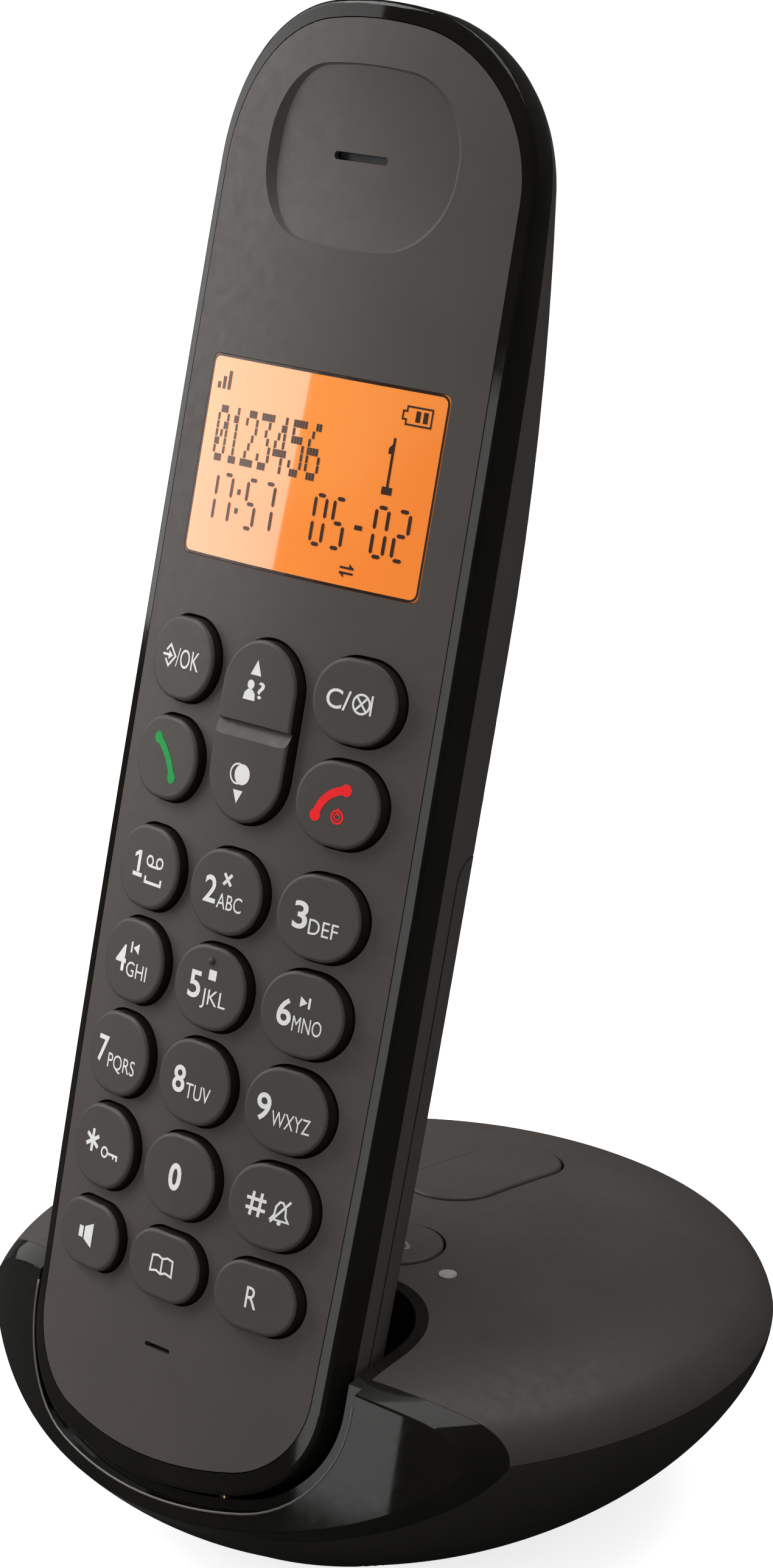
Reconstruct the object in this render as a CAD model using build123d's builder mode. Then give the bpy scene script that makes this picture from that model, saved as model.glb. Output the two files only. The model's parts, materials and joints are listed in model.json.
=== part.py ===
"""Cordless phone handset standing in its round charging base.

Millimetres, +Z up, the base's circle centred on the Z axis and its foot on z = 0.  The handset leans
back in the base, so its pieces are drawn on planes of its own: u across, s along it towards the
earpiece, n out of its face.
"""
import os
from math import cos, pi, radians, sin, sqrt, tan

from build123d import *

# ---------------------------------------------------------------- handset: outline and section
hs_lean = 14.84          # lean back from upright, degrees
base_r = 44.3            # circle of the base at its rim
hs_inset = 22.06         # the middle of key 2 on the face lies this far behind the base's front
hs_y, hs_z = hs_inset - base_r, 75.71
hs_top = 94.1            # top end above that point
hs_bottom = 64.0         # bottom end below it
hs_waist = 2.0           # station of the widest section
w_top, w_waist, w_bottom = 22.1, 22.65, 21.5   # half widths at the top corner, waist, bottom corner
top_arc_r, bottom_arc_r = 50.0, 50.0
top_corner_r, bottom_corner_r = 18.0, 12.0
face_r = 78.0            # the face is arched across its width
hs_depth = 20.2          # face crown to back crown
back_r = 45.0            # the back is arched across its width
back_round = 11.5        # rounding between flank and back
taper_from, taper_r = 30.0, 250.0    # the head thins towards the top along this arc
hs_wall = 1.6
seam_n = 7.0             # depth of the seam between trim ring and rear shell
door_n = 9.4             # depth of the battery door's seam
door_top = 8.5           # station of the battery door's upper edge
door_corner_r = 3.0
door_travel = 3.0        # slide that frees the door's hooks
seam_gap = 0.06          # between fixed covers
run_gap = 0.3            # between pieces that move past each other

# front cover inside the trim ring
cover_t = 1.6
cover_side, cover_top, cover_end = 1.45, 2.0, 2.5   # how far its edge stays inside the outline
cover_gap = 0.12
ledge = 1.2              # width of the ring's ledge under the cover's edge
rim_round = 0.55         # rounding of the ring's front edge

# earpiece and microphone openings
ear_s, ear_w, ear_h, ear_r = 77.8, 27.0, 19.2, 6.4
ear_deep, ear_edge, ear_slope = 0.95, 0.12, 50.0   # dish: middle, ends, slope of its sides
ear_under = 2.2          # depth its sides are drawn from
ear_slot_w, ear_slot_h = 7.6, 0.85
mic_s, mic_slot_w, mic_slot_h = -49.8, 3.75, 0.5

# display
lens_s, lens_w, lens_h, lens_r = 44.65, 34.0, 21.5, 0.9
lens_t, lens_gap, lens_lip = 1.0, 0.08, 0.7
module_t, module_margin = 2.2, 1.0

# keys
key_w, key_h = 10.5, 8.96
small_key_h = 7.3
key_pitch_u, key_pitch_s = 12.56, 10.3
talk_row, ok_row, small_row = 12.0, 22.8, -40.7
key_proud = 1.35         # cap above the face
key_gap = 0.3            # cap to its hole
key_edge_r = 0.45
key_travel = 0.6
key_flange, key_flange_t = 0.6, 0.5
rocker_w, rocker_lo, rocker_hi = 10.6, 7.5, 26.95
rocker_groove_w, rocker_groove_t = 1.9, 0.8
rocker_tilt = 3.0        # degrees each way
dot_r = 0.45

# handset inside
board_n, board_t = 6.0, 0.8      # depth of the board's upper face
board_lo, board_hi, board_w = -47.5, 70.0, 37.0
mat_t = 0.6
bay_floor_t = 0.6
cell_r, cell_len = 5.1, 44.5     # AAA cells
cell_pitch = 11.0
cell_lo = -48.6
spring_t = 0.4
post_u, post_s = 11.5, 63.5
end_post_u, end_post_s = 9.0, -54.6
screw_r, head_r, head_t = 1.1, 2.0, 1.3
screw_skin, screw_end_gap = 1.3, 0.8     # over the post's blind hole, and from the screw's tip to it
slot_w = 0.5
ear_unit_r, ear_unit_t = 7.5, 2.6
mic_r, mic_t = 2.0, 2.4
ringer_r, ringer_t, ringer_s = 8.5, 3.2, 46.0
pad_u, pad_n, pad_w, pad_h, pad_t = 9.0, 4.9, 4.0, 2.2, 1.2

# ---------------------------------------------------------------- base
rim_z = 21.5
base_h = 31.8
dome_px, dome_pz = 2.83, 2.137   # exponents of the dome's superellipse
dome_shares = (0.0, 0.69, 0.93, 1.0)   # where its arcs meet, as shares of its radius
bowl_p = 1.58            # exponent of the bowl's superellipse
bowl_r0 = 16.0           # radius the bowl runs down to
foot_y = hs_y + 17.69    # the bowl's circles move forward to this towards the foot
base_wall = 2.0
foot_edge = 0.38    # foot pad inside the bowl's lowest circle
foot_proud = 0.8         # foot pad below the bottom cover
foot_t = 1.5
front_r = 76.0           # the base's face is arched like the handset's
front_back = 1.2         # how far it lies behind the handset's face
insert_t = 2.2
insert_edge_r = 0.35

# cradle
dock_gap = 0.6
dock_wall = 1.3
dock_half_w = 22.0       # widest part of the handset that stands in the cradle
dock_back_r = 9.0
mouth_w, mouth_deep = 1.4, 0.9    # rebate round the cradle's mouth
pin_r, pin_len, pin_hole_gap = 0.8, 3.0, 0.05

# keys and light on the dome
page_x, page_y, page_r = 7.0, hs_y + 17.64, 5.1
light_x, light_y, light_r = 16.0, hs_y + 15.94, 1.0
pill_w, pill_lo, pill_hi = 10.7, page_y + 11.8, base_r - 15.7
top_key_gap = 0.3
top_key_proud = 0.25
top_key_t = 2.6
top_key_travel = 0.6
top_flange, top_flange_t = 0.75, 0.8
stem_r = 1.6

# base inside
pcb_z, pcb_t = 17.0, 1.6
bay_y = base_r - 15.5    # floor of the socket bay, where the plugs stop
pcb_r, pcb_lo, pcb_hi = base_r - 7.3, hs_y + 12.24, bay_y - 1.7
switch_w, switch_h = 6.0, 2.4
led_r, led_h = 1.6, 1.6
boss_front, boss_rear = 4.0, base_r - 20.8
boss_points = ((24.0, boss_front), (-24.0, boss_front), (20.0, boss_rear), (-20.0, boss_rear))
boss_r, base_screw_r, base_head_r, base_head_t = 3.2, 1.2, 2.3, 1.6
head_seat_z = 12.0
screw_top_z = 25.0
bay_w, bay_lo_z, bay_hi_z, bay_wall = 34.0, 3.5, 16.4, 1.4
line_w, line_h, line_d, line_x = 12.6, 9.4, 13.0, -9.6
line_hole_w, line_hole_h, line_hole_d = 9.8, 6.6, 9.0
power_w, power_h, power_d, power_x = 9.0, 9.4, 13.0, 8.1
power_hole_r, power_pin_r, power_hole_d = 2.9, 0.65, 9.5
jack_gap = 0.1
shield_x, shield_w, shield_h, shield_gap = -18.0, 16.0, 2.4, 0.95
antenna_x, antenna_y, antenna_w, antenna_h, antenna_t = 17.0 - pcb_r, hs_y + 19.24, 14.0, 7.0, 0.5
antenna_band = 1.5

os.makedirs("parts", exist_ok=True)

# ---------------------------------------------------------------- planes and shared shapes
lean = radians(hs_lean)
X_DIR = Vector(1, 0, 0)
ORIGIN = Vector(0, hs_y, hs_z)
ALONG = Vector(0, sin(lean), cos(lean))
OUT = Vector(0, -cos(lean), sin(lean))


def level(n):
    """Plane facing out of the handset's face, n above the face's crown."""
    return Plane(origin=ORIGIN + OUT * n, x_dir=X_DIR, z_dir=OUT)


def station(s):
    """Plane across the handset at station s, its y axis pointing out of the face."""
    return Plane(origin=ORIGIN + ALONG * s, x_dir=X_DIR, z_dir=-ALONG)


def flank(u):
    """Plane along the handset's flank, x towards the top, y out of the face."""
    return Plane(origin=ORIGIN + X_DIR * u, x_dir=ALONG, z_dir=X_DIR)


def sag(radius, half_chord):
    """Drop of an arc at a distance from its crown."""
    return radius - sqrt(radius * radius - half_chord * half_chord)


def outline(plane, side_in=0.0, top_in=0.0, end_in=0.0):
    """The handset's outline on a plane, drawn in by the given amounts."""
    wt, ww, wb = w_top - side_in, w_waist - side_in, w_bottom - side_in
    top_s, end_s = hs_top - top_in, -hs_bottom + end_in
    yt = top_s - sag(top_arc_r - top_in, wt)
    yb = end_s + sag(bottom_arc_r - end_in, wb)
    with BuildSketch(plane) as sk:
        with BuildLine():
            TangentArc((ww, hs_waist), (wt, yt), tangent=(0, 1))
            ThreePointArc((wt, yt), (0, top_s), (-wt, yt))
            TangentArc((-ww, hs_waist), (-wt, yt), tangent=(0, 1))
            TangentArc((-ww, hs_waist), (-wb, yb), tangent=(0, -1))
            ThreePointArc((-wb, yb), (0, end_s), (wb, yb))
            TangentArc((ww, hs_waist), (wb, yb), tangent=(0, -1))
        make_face()
        fillet(sk.vertices().filter_by(lambda v: v.Y > yt - 0.01), top_corner_r - side_in)
        fillet(sk.vertices().filter_by(lambda v: v.Y < yb + 0.01 and abs(v.X) > wb - 0.01),
               bottom_corner_r - side_in)
    return sk.sketch


def under_face(depth, below=40.0):
    """Everything under the arched face surface at a depth."""
    with BuildPart() as body:
        with BuildSketch(station(hs_top + 10)):
            with BuildLine():
                r = face_r - depth
                ThreePointArc((-30, -depth - sag(r, 30)), (0, -depth), (30, -depth - sag(r, 30)))
                Polyline((30, -depth - sag(r, 30)), (30, -below), (-30, -below),
                         (-30, -depth - sag(r, 30)))
            make_face()
        extrude(amount=hs_top + hs_bottom + 20)
    return body.part


def over_back(skin):
    """Everything in front of the arched, tapering back surface."""
    start = flank(0).from_local_coords((-hs_bottom - 10, -hs_depth + skin))
    bend = flank(0).from_local_coords((taper_from, -hs_depth + skin))
    end_s = hs_top + 8
    end = flank(0).from_local_coords((end_s, -hs_depth + skin + sag(taper_r, end_s - taper_from)))
    drop = sag(back_r - skin, 28)
    with BuildPart() as body:
        with BuildLine() as spine:
            Line(start, bend)
            TangentArc(bend, end, tangent=ALONG)
        with BuildSketch(Plane(origin=start, x_dir=X_DIR, z_dir=ALONG)):
            with BuildLine():
                ThreePointArc((-28, -drop), (0, 0), (28, -drop))
                Polyline((28, -drop), (28, -40), (-28, -40), (-28, -drop))
            make_face()
        sweep(path=spine.wire())
    return body.part


def handset_form(skin, front=0.0):
    """The handset's solid form, drawn in by a skin; its face is left at depth front."""
    with BuildPart() as body:
        extrude(outline(level(-hs_depth - 3), skin, skin, skin), amount=hs_depth + 8)
        add(over_back(skin), mode=Mode.INTERSECT)
        rear = body.edges().filter_by(
            lambda e: (e.center() - ORIGIN).dot(OUT) < -hs_depth / 2
            and abs((e.center() - ORIGIN).dot(ALONG) - taper_from) > 0.5)
        fillet(rear, back_round - skin)
        add(under_face(front), mode=Mode.INTERSECT)
    return body.part


def key_sketch(plane, u, s, width, height, grow=0.0):
    """Pill outline of a key."""
    with BuildSketch(plane) as sk:
        with Locations((u, s)):
            SlotOverall(width + 2 * grow, height + 2 * grow)
    return sk.sketch


def dome_point(share, skin):
    """Point of the dome's profile at a share of its radius."""
    return ((base_r - skin) * share,
            rim_z + (base_h - skin - rim_z) * (1 - share ** dome_px) ** (1 / dome_pz))


def bowl_ring(a, skin):
    """Centre y, radius and height of the bowl's circle at angle a below the rim."""
    r = bowl_r0 + (base_r - bowl_r0) * cos(a) ** (2 / bowl_p)
    share = (r - bowl_r0) / (base_r - bowl_r0)
    z = rim_z * (1 - sin(a) ** (2 / bowl_p))
    return foot_y * (1 - share), r - skin, z


def bowl_angle(height):
    """Angle at which the bowl reaches a height."""
    lo, hi = 0.0, pi / 2
    for _ in range(50):
        mid = (lo + hi) / 2
        lo, hi = (mid, hi) if bowl_ring(mid, 0)[2] > height else (lo, mid)
    return lo


def base_form(skin):
    """The base's solid form before its face is cut, drawn in by a skin."""
    low = foot_proud + skin
    last = bowl_angle(low)
    steps = 7
    crown, shoulder, brow, edge = [dome_point(share, skin) for share in dome_shares]
    with BuildPart() as dome:
        with BuildSketch(Plane.XZ):
            with BuildLine():
                top_arc = TangentArc(crown, shoulder, tangent=(1, 0))
                mid_arc = TangentArc(shoulder, brow, tangent=top_arc % 1)
                TangentArc(brow, edge, tangent=mid_arc % 1)
                Polyline(edge, (0, rim_z), crown)
            make_face()
        revolve(axis=Axis.Z)
    with BuildPart() as bowl:
        for k in range(steps + 1):
            cy, r, z = bowl_ring(last * k / steps, skin)
            with BuildSketch(Plane.XY.offset(low if k == steps else z)):
                with Locations((0, cy)):
                    Circle(r)
        loft()
    with BuildPart() as both:
        add(dome.part)
        add(bowl.part)
    return both.part


def behind_front(depth):
    """Everything behind the base's arched face, at a depth under it."""
    with BuildPart() as body:
        with BuildSketch(station(hs_top)):
            with Locations((0, -front_back - front_r)):
                Circle(front_r - depth)
        extrude(amount=hs_top + hs_bottom + 60)
    return body.part


def dock_outline(plane, grow, shift=0.0):
    """Outline of the cradle: the handset's lower end with straight sides running up."""
    w = dock_half_w + grow
    end_s = -hs_bottom - grow - shift
    yb = end_s + sag(bottom_arc_r + grow, w)
    with BuildSketch(plane) as sk:
        with BuildLine():
            ThreePointArc((-w, yb), (0, end_s), (w, yb))
            Polyline((w, yb), (w, 20), (-w, 20), (-w, yb))
        make_face()
        fillet(sk.vertices().filter_by(lambda v: v.Y < 0), bottom_corner_r + grow)
    return sk.sketch


def dock_form(grow):
    """Solid that fills the cradle, grown by a clearance or a wall, with room for the door's slide."""
    back = -hs_depth - grow
    with BuildPart() as body:
        extrude(dock_outline(level(back), grow), amount=hs_depth + grow + 12)
        fillet(body.faces().sort_by(Axis(ORIGIN, OUT))[0].edges(), dock_back_r + grow)
    with BuildPart() as relief:
        extrude(dock_outline(level(back), grow, door_travel), amount=hs_depth - door_n + 2 * grow)
        fillet(relief.faces().sort_by(Axis(ORIGIN, OUT))[0].edges(), dock_back_r + grow)
    with BuildPart() as both:
        add(body.part)
        add(relief.part)
    return both.part


def write(part, name):
    """Label a finished piece and write it."""
    part.label = name
    export_step(part, f"parts/{name}.step")


hs_outer = handset_form(0)
hs_inner = handset_form(hs_wall, cover_t)
over_cover = under_face(cover_t + 0.04)

# ---------------------------------------------------------------- handset covers
key_rows = {1: 0.0, 4: -key_pitch_s, 7: -2 * key_pitch_s}
keys = [("ok", -key_pitch_u, ok_row, key_h), ("clear", key_pitch_u, ok_row, key_h),
        ("talk", -key_pitch_u, talk_row, key_h), ("end", key_pitch_u, talk_row, key_h)]
for first, row_s in key_rows.items():
    keys += [(str(first + k), (k - 1) * key_pitch_u, row_s, key_h) for k in range(3)]
keys += [(name, k * key_pitch_u, -3 * key_pitch_s, key_h)
         for name, k in (("star", -1), ("0", 0), ("hash", 1))]
keys += [(name, k * key_pitch_u, small_row, small_key_h)
         for name, k in (("speaker", -1), ("book", 0), ("redial", 1))]
rocker_s, rocker_h = (rocker_lo + rocker_hi) / 2, rocker_hi - rocker_lo
post_points = ((post_u, post_s), (-post_u, post_s), (end_post_u, end_post_s), (-end_post_u, end_post_s))

# the earpiece dish is hollowed by an arc turned about the face's own axis
ear_spread = ear_under * tan(radians(ear_slope))
ear_side_spread = (ear_under - sag(face_r, ear_w / 2)) * tan(radians(ear_slope))
with BuildPart() as ear_dish:
    with BuildSketch(flank(0)):
        with BuildLine():
            ThreePointArc((ear_s - ear_h / 2, -ear_edge), (ear_s, -ear_deep), (ear_s + ear_h / 2, -ear_edge))
            Polyline((ear_s + ear_h / 2, -ear_edge), (ear_s + ear_h / 2, 2), (ear_s - ear_h / 2, 2),
                     (ear_s - ear_h / 2, -ear_edge))
        make_face()
    revolve(axis=Axis(ORIGIN - OUT * face_r, ALONG))
    with BuildSketch(level(-ear_under)):
        with Locations((0, ear_s)):
            RectangleRounded(ear_w - 2 * ear_side_spread, ear_h - 2 * ear_spread, ear_r)
    extrude(amount=ear_under + 1, taper=-ear_slope, mode=Mode.INTERSECT)

with BuildPart() as key_holes:
    for _, u, s, h in keys:
        extrude(key_sketch(level(-8), u, s, key_w, h, key_gap), amount=12)
    with BuildSketch(level(-8)):
        with Locations((0, rocker_s)):
            SlotOverall(rocker_h + 2 * key_gap, rocker_w + 2 * key_gap, rotation=90)
    extrude(amount=12)

with BuildPart() as front_cover:
    extrude(outline(level(-8), cover_side, cover_top, cover_end), amount=12)
    add(under_face(0), mode=Mode.INTERSECT)
    add(under_face(cover_t), mode=Mode.SUBTRACT)
    add(ear_dish.part, mode=Mode.SUBTRACT)
    for s, w, h in ((ear_s, ear_slot_w, ear_slot_h), (mic_s, mic_slot_w, mic_slot_h)):
        with BuildSketch(level(-5)):
            with Locations((0, s)):
                SlotOverall(w, h)
        extrude(amount=8, mode=Mode.SUBTRACT)
    # display window, stepped so that the lens sits on a lip
    with BuildSketch(level(-8)):
        with Locations((0, lens_s)):
            RectangleRounded(lens_w - 2 * lens_lip, lens_h - 2 * lens_lip, lens_r)
    extrude(amount=12, mode=Mode.SUBTRACT)
    add(key_holes.part, mode=Mode.SUBTRACT)
with BuildPart() as lens_seat:
    with BuildSketch(level(-8)):
        with Locations((0, lens_s)):
            RectangleRounded(lens_w + 2 * lens_gap, lens_h + 2 * lens_gap, lens_r)
    extrude(amount=12)
    add(under_face(lens_t), mode=Mode.SUBTRACT)
with BuildPart() as cover_posts:
    # tubes that take the case screws
    for u, s in post_points:
        with BuildSketch(level(-seam_n + 0.1)):
            with Locations((u, s)):
                Circle(2 * screw_r)
        extrude(amount=8)
    add(under_face(cover_t / 2), mode=Mode.INTERSECT)
    for u, s in post_points:
        with BuildSketch(level(-seam_n - 1)):
            with Locations((u, s)):
                Circle(screw_r + 0.04)
        extrude(amount=seam_n + 1 - cover_t - screw_skin - screw_end_gap, mode=Mode.SUBTRACT)
with BuildPart() as front_cover_done:
    add(front_cover.part)
    add(lens_seat.part, mode=Mode.SUBTRACT)
    add(cover_posts.part)
write(front_cover_done.part, "front_cover")

with BuildPart() as trim_ring:
    add(hs_outer)
    front_edges = trim_ring.edges().filter_by(lambda e: (e.center() - ORIGIN).dot(OUT) > -4.4)
    fillet(front_edges, rim_round)
    split(bisect_by=level(-seam_n), keep=Keep.TOP)
    extrude(outline(level(-seam_n - 1), cover_side + ledge, cover_top + ledge, cover_end + ledge),
            amount=20, mode=Mode.SUBTRACT)
with BuildPart() as cover_seat:
    extrude(outline(level(-8), cover_side - cover_gap, cover_top - cover_gap, cover_end - cover_gap),
            amount=12)
    add(over_cover, mode=Mode.SUBTRACT)
with BuildPart() as pad_space:
    for u in (-pad_u, pad_u):
        with BuildSketch(level(-pad_n - pad_h / 2)):
            with Locations((u, -hs_bottom + sag(bottom_arc_r, pad_u) + pad_t - 3)):
                Rectangle(pad_w, 6)
        extrude(amount=pad_h)
with BuildPart() as trim_ring_done:
    add(trim_ring.part)
    add(cover_seat.part, mode=Mode.SUBTRACT)
    add(pad_space.part, mode=Mode.SUBTRACT)
write(trim_ring_done.part, "trim_ring")

with BuildPart() as charge_pads:
    add(pad_space.part)
    add(hs_outer, mode=Mode.INTERSECT)
write(charge_pads.part, "charge_pads")

def door_region(gap):
    """Everything the battery door is cut from, drawn in by a gap at its seam, its upper corner rounded."""
    edge_s, edge_n = door_top - gap, -door_n - gap
    with BuildPart() as body:
        with BuildSketch(flank(-30)) as side:
            with BuildLine():
                Polyline((-hs_bottom - 5, edge_n), (edge_s, edge_n), (edge_s, -40), (-hs_bottom - 5, -40),
                         close=True)
            make_face()
            fillet(side.vertices().filter_by(
                lambda v: abs(v.X - edge_s) < 1e-3 and abs(v.Y - edge_n) < 1e-3), door_corner_r)
        extrude(amount=60)
    return body.part


with BuildPart() as shell_skin:
    add(hs_outer)
    add(hs_inner, mode=Mode.SUBTRACT)
    split(bisect_by=level(-seam_n - seam_gap), keep=Keep.BOTTOM)

with BuildPart() as battery_door:
    add(shell_skin.part)
    add(door_region(run_gap / 2), mode=Mode.INTERSECT)
write(battery_door.part, "battery_door")

floor_n = seam_n + seam_gap + bay_floor_t
with BuildPart() as head_cavity:
    add(hs_inner)
    split(bisect_by=station(door_top + hs_wall), keep=Keep.BOTTOM)
with BuildPart() as bay_cavity:
    add(hs_inner)
    split(bisect_by=station(door_top + run_gap / 2), keep=Keep.TOP)
    split(bisect_by=level(-floor_n), keep=Keep.BOTTOM)
with BuildPart() as rear_shell:
    add(hs_outer)
    split(bisect_by=level(-seam_n - seam_gap), keep=Keep.BOTTOM)
    add(door_region(-run_gap / 2), mode=Mode.SUBTRACT)
    add(head_cavity.part, mode=Mode.SUBTRACT)
    add(bay_cavity.part, mode=Mode.SUBTRACT)
with BuildPart() as rear_bosses:
    for u in (-post_u, post_u):
        with BuildSketch(level(-hs_depth)):
            with Locations((u, post_s)):
                Circle(head_r + 1)
        extrude(amount=hs_depth - seam_n - 0.3)
    add(hs_outer, mode=Mode.INTERSECT)
screw_seats = ((post_u, post_s, -seam_n - 3.3), (-post_u, post_s, -seam_n - 3.3),
               (end_post_u, end_post_s, -floor_n),
               (-end_post_u, end_post_s, -floor_n))
with BuildPart() as rear_shell_done:
    add(rear_shell.part)
    add(rear_bosses.part)
    for u, s, seat in screw_seats:
        with BuildSketch(level(seat)):
            with Locations((u, s)):
                Circle(head_r + 0.25)
        extrude(amount=-20, mode=Mode.SUBTRACT)
        with BuildSketch(level(seat - 1)):
            with Locations((u, s)):
                Circle(screw_r + 0.15)
        extrude(amount=12, mode=Mode.SUBTRACT)
write(rear_shell_done.part, "rear_shell")

with BuildPart() as handset_screws:
    for u, s, seat in screw_seats:
        with BuildSketch(level(seat)):
            with Locations((u, s)):
                Circle(head_r)
        extrude(amount=-head_t)
        with BuildSketch(level(seat)):
            with Locations((u, s)):
                Circle(screw_r)
        extrude(amount=-seat - cover_t - screw_skin - 1.5 * screw_end_gap)
        with BuildSketch(level(seat - head_t)):
            with Locations((u, s)):
                Rectangle(head_r * 1.3, slot_w)
                Rectangle(slot_w, head_r * 1.3)
        extrude(amount=0.7, mode=Mode.SUBTRACT)
write(handset_screws.part, "handset_screws")

# ---------------------------------------------------------------- display
with BuildPart() as display_lens:
    with BuildSketch(level(-8)):
        with Locations((0, lens_s)):
            RectangleRounded(lens_w, lens_h, lens_r)
    extrude(amount=12)
    add(under_face(0.03), mode=Mode.INTERSECT)
    add(under_face(lens_t - 0.02), mode=Mode.SUBTRACT)
write(display_lens.part, "display_lens")

with BuildPart() as display_module:
    with BuildSketch(level(-board_n)):
        with Locations((0, lens_s)):
            RectangleRounded(lens_w - 1.0, lens_h + 2 * module_margin, 1.0)
    extrude(amount=module_t)
    fillet(display_module.edges().group_by(Axis(ORIGIN, OUT))[-1], 0.3)
write(display_module.part, "display_module")

# ---------------------------------------------------------------- keys
key_foot = -board_n + mat_t + run_gap + key_travel
for name, u, s, h in keys:
    with BuildPart() as cap:
        extrude(key_sketch(level(key_foot), u, s, key_w, h), amount=12)
        add(under_face(-key_proud), mode=Mode.INTERSECT)
        top_edges = cap.faces().sort_by(Axis(ORIGIN, OUT))[-1].edges()
        fillet(top_edges, key_edge_r)
        extrude(key_sketch(level(key_foot), u, s, key_w + 2 * key_flange, h), amount=key_flange_t)
        if name == "5":
            crown = level(0).from_local_coords((u, s + h / 2 - 1.6, key_proud - 0.1))
            with Locations(crown):
                Sphere(dot_r)
    write(cap.part, f"key_{name}")

with BuildPart() as key_rocker:
    with BuildSketch(level(key_foot)):
        with Locations((0, rocker_s)):
            SlotOverall(rocker_h, rocker_w, rotation=90)
    extrude(amount=12)
    add(under_face(-key_proud), mode=Mode.INTERSECT)
    fillet(key_rocker.faces().sort_by(Axis(ORIGIN, OUT))[-1].edges(), key_edge_r)
    # valley across the middle
    with BuildSketch(flank(-20)):
        with BuildLine():
            Polyline((rocker_s - rocker_groove_w / 2, key_proud + 0.5),
                     (rocker_s - rocker_groove_w / 2, key_proud - 0.1),
                     (rocker_s + rocker_groove_w / 2 - 0.3, key_proud - rocker_groove_t),
                     (rocker_s + rocker_groove_w / 2, key_proud + 0.5), close=True)
        make_face()
    extrude(amount=40, mode=Mode.SUBTRACT)
    with BuildSketch(level(key_foot)):
        with Locations((0, rocker_s)):
            Rectangle(rocker_w + 2 * key_flange, rocker_h * 0.45)
    extrude(amount=key_flange_t)
write(key_rocker.part, "key_rocker")

with BuildPart() as keypad_mat:
    with BuildSketch(level(-board_n)):
        with Locations((0, (small_row - 4.5 + rocker_hi + 1.5) / 2)):
            RectangleRounded(board_w - 1, rocker_hi - small_row + 6, 2)
    extrude(amount=mat_t)
    # rib the rocker tilts on
    with BuildSketch(level(-board_n)):
        with Locations((0, rocker_s)):
            Rectangle(rocker_w * 0.7, 1.0)
    extrude(amount=mat_t + key_travel)
write(keypad_mat.part, "keypad_mat")

# ---------------------------------------------------------------- handset electronics
with BuildPart() as handset_board:
    with BuildSketch(level(-board_n)):
        with Locations((0, (board_lo + board_hi) / 2)):
            RectangleRounded(board_w, board_hi - board_lo, 4)
        with Locations((post_u, post_s), (-post_u, post_s)):
            Circle(2 * screw_r + 0.2, mode=Mode.SUBTRACT)
    extrude(amount=-board_t)
write(handset_board.part, "handset_board")

with BuildPart() as handset_shield:
    with BuildSketch(level(-board_n - board_t)):
        with Locations((0, 24)):
            RectangleRounded(24, 16, 0.8)
    extrude(amount=-1.8)
write(handset_shield.part, "handset_shield")

ear_top = cover_t + sag(face_r - cover_t, ear_unit_r) + 0.05
with BuildPart() as earpiece:
    with BuildSketch(level(-ear_top)):
        with Locations((0, ear_s)):
            Circle(ear_unit_r)
    extrude(amount=-ear_unit_t)
    with BuildSketch(level(-ear_top - ear_unit_t)):
        with Locations((0, ear_s)):
            Circle(ear_unit_r * 0.6)
    extrude(amount=-1.2)
write(earpiece.part, "earpiece")

with BuildPart() as microphone:
    with BuildSketch(level(-cover_t - 0.1)):
        with Locations((0, mic_s)):
            Circle(mic_r)
    extrude(amount=-mic_t)
write(microphone.part, "microphone")

with BuildPart() as ringer:
    with BuildSketch(level(-board_n - board_t)):
        with Locations((0, ringer_s)):
            Circle(ringer_r)
    extrude(amount=-ringer_t)
    with BuildSketch(level(-board_n - board_t - ringer_t)):
        with Locations((0, ringer_s)):
            Circle(ringer_r * 0.55)
    extrude(amount=-1.6)
write(ringer.part, "ringer")

cell_n = -floor_n - 0.05 - cell_r
with BuildPart() as battery_cells:
    for u, turn in ((-cell_pitch / 2, 1), (cell_pitch / 2, -1)):
        with BuildSketch(station(cell_lo + cell_len / 2 + turn * cell_len / 2 - turn * 0.8)):
            with Locations((u, cell_n)):
                Circle(cell_r)
        extrude(amount=turn * (cell_len - 0.8))
        with BuildSketch(station(cell_lo + cell_len / 2 + turn * cell_len / 2)):
            with Locations((u, cell_n)):
                Circle(1.9)
        extrude(amount=turn * 0.8)
write(battery_cells.part, "battery_cells")

with BuildPart() as battery_springs:
    # contact plates at both ends, each carried on the bay's floor
    for s, away in ((cell_lo - 0.3, 1), (cell_lo + cell_len + 0.3, -1)):
        with BuildSketch(station(s)):
            with Locations((0, cell_n + cell_r - 3.5)):
                Rectangle(cell_pitch + 6, 7)
        extrude(amount=away * spring_t)
write(battery_springs.part, "battery_springs")

# ---------------------------------------------------------------- base covers and cradle
base_outer = base_form(0)
foot_r = bowl_ring(bowl_angle(foot_proud), 0)[1] - foot_edge
base_inner = base_form(base_wall)
face_plate_back = behind_front(insert_t + seam_gap)
dock_space = dock_form(dock_gap)
dock_cup = dock_form(dock_gap + dock_wall)
dock_hole = dock_form(dock_gap + dock_wall + seam_gap)

with BuildPart() as key_cuts:
    with BuildSketch(Plane.XY.offset(rim_z)):
        with Locations((0, (pill_lo + pill_hi) / 2)):
            SlotOverall(pill_hi - pill_lo + 2 * top_key_gap, pill_w + 2 * top_key_gap, rotation=90)
        with Locations((page_x, page_y)):
            Circle(page_r + top_key_gap)
        with Locations((light_x, light_y)):
            Circle(light_r + 0.05)
    extrude(amount=20)

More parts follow.
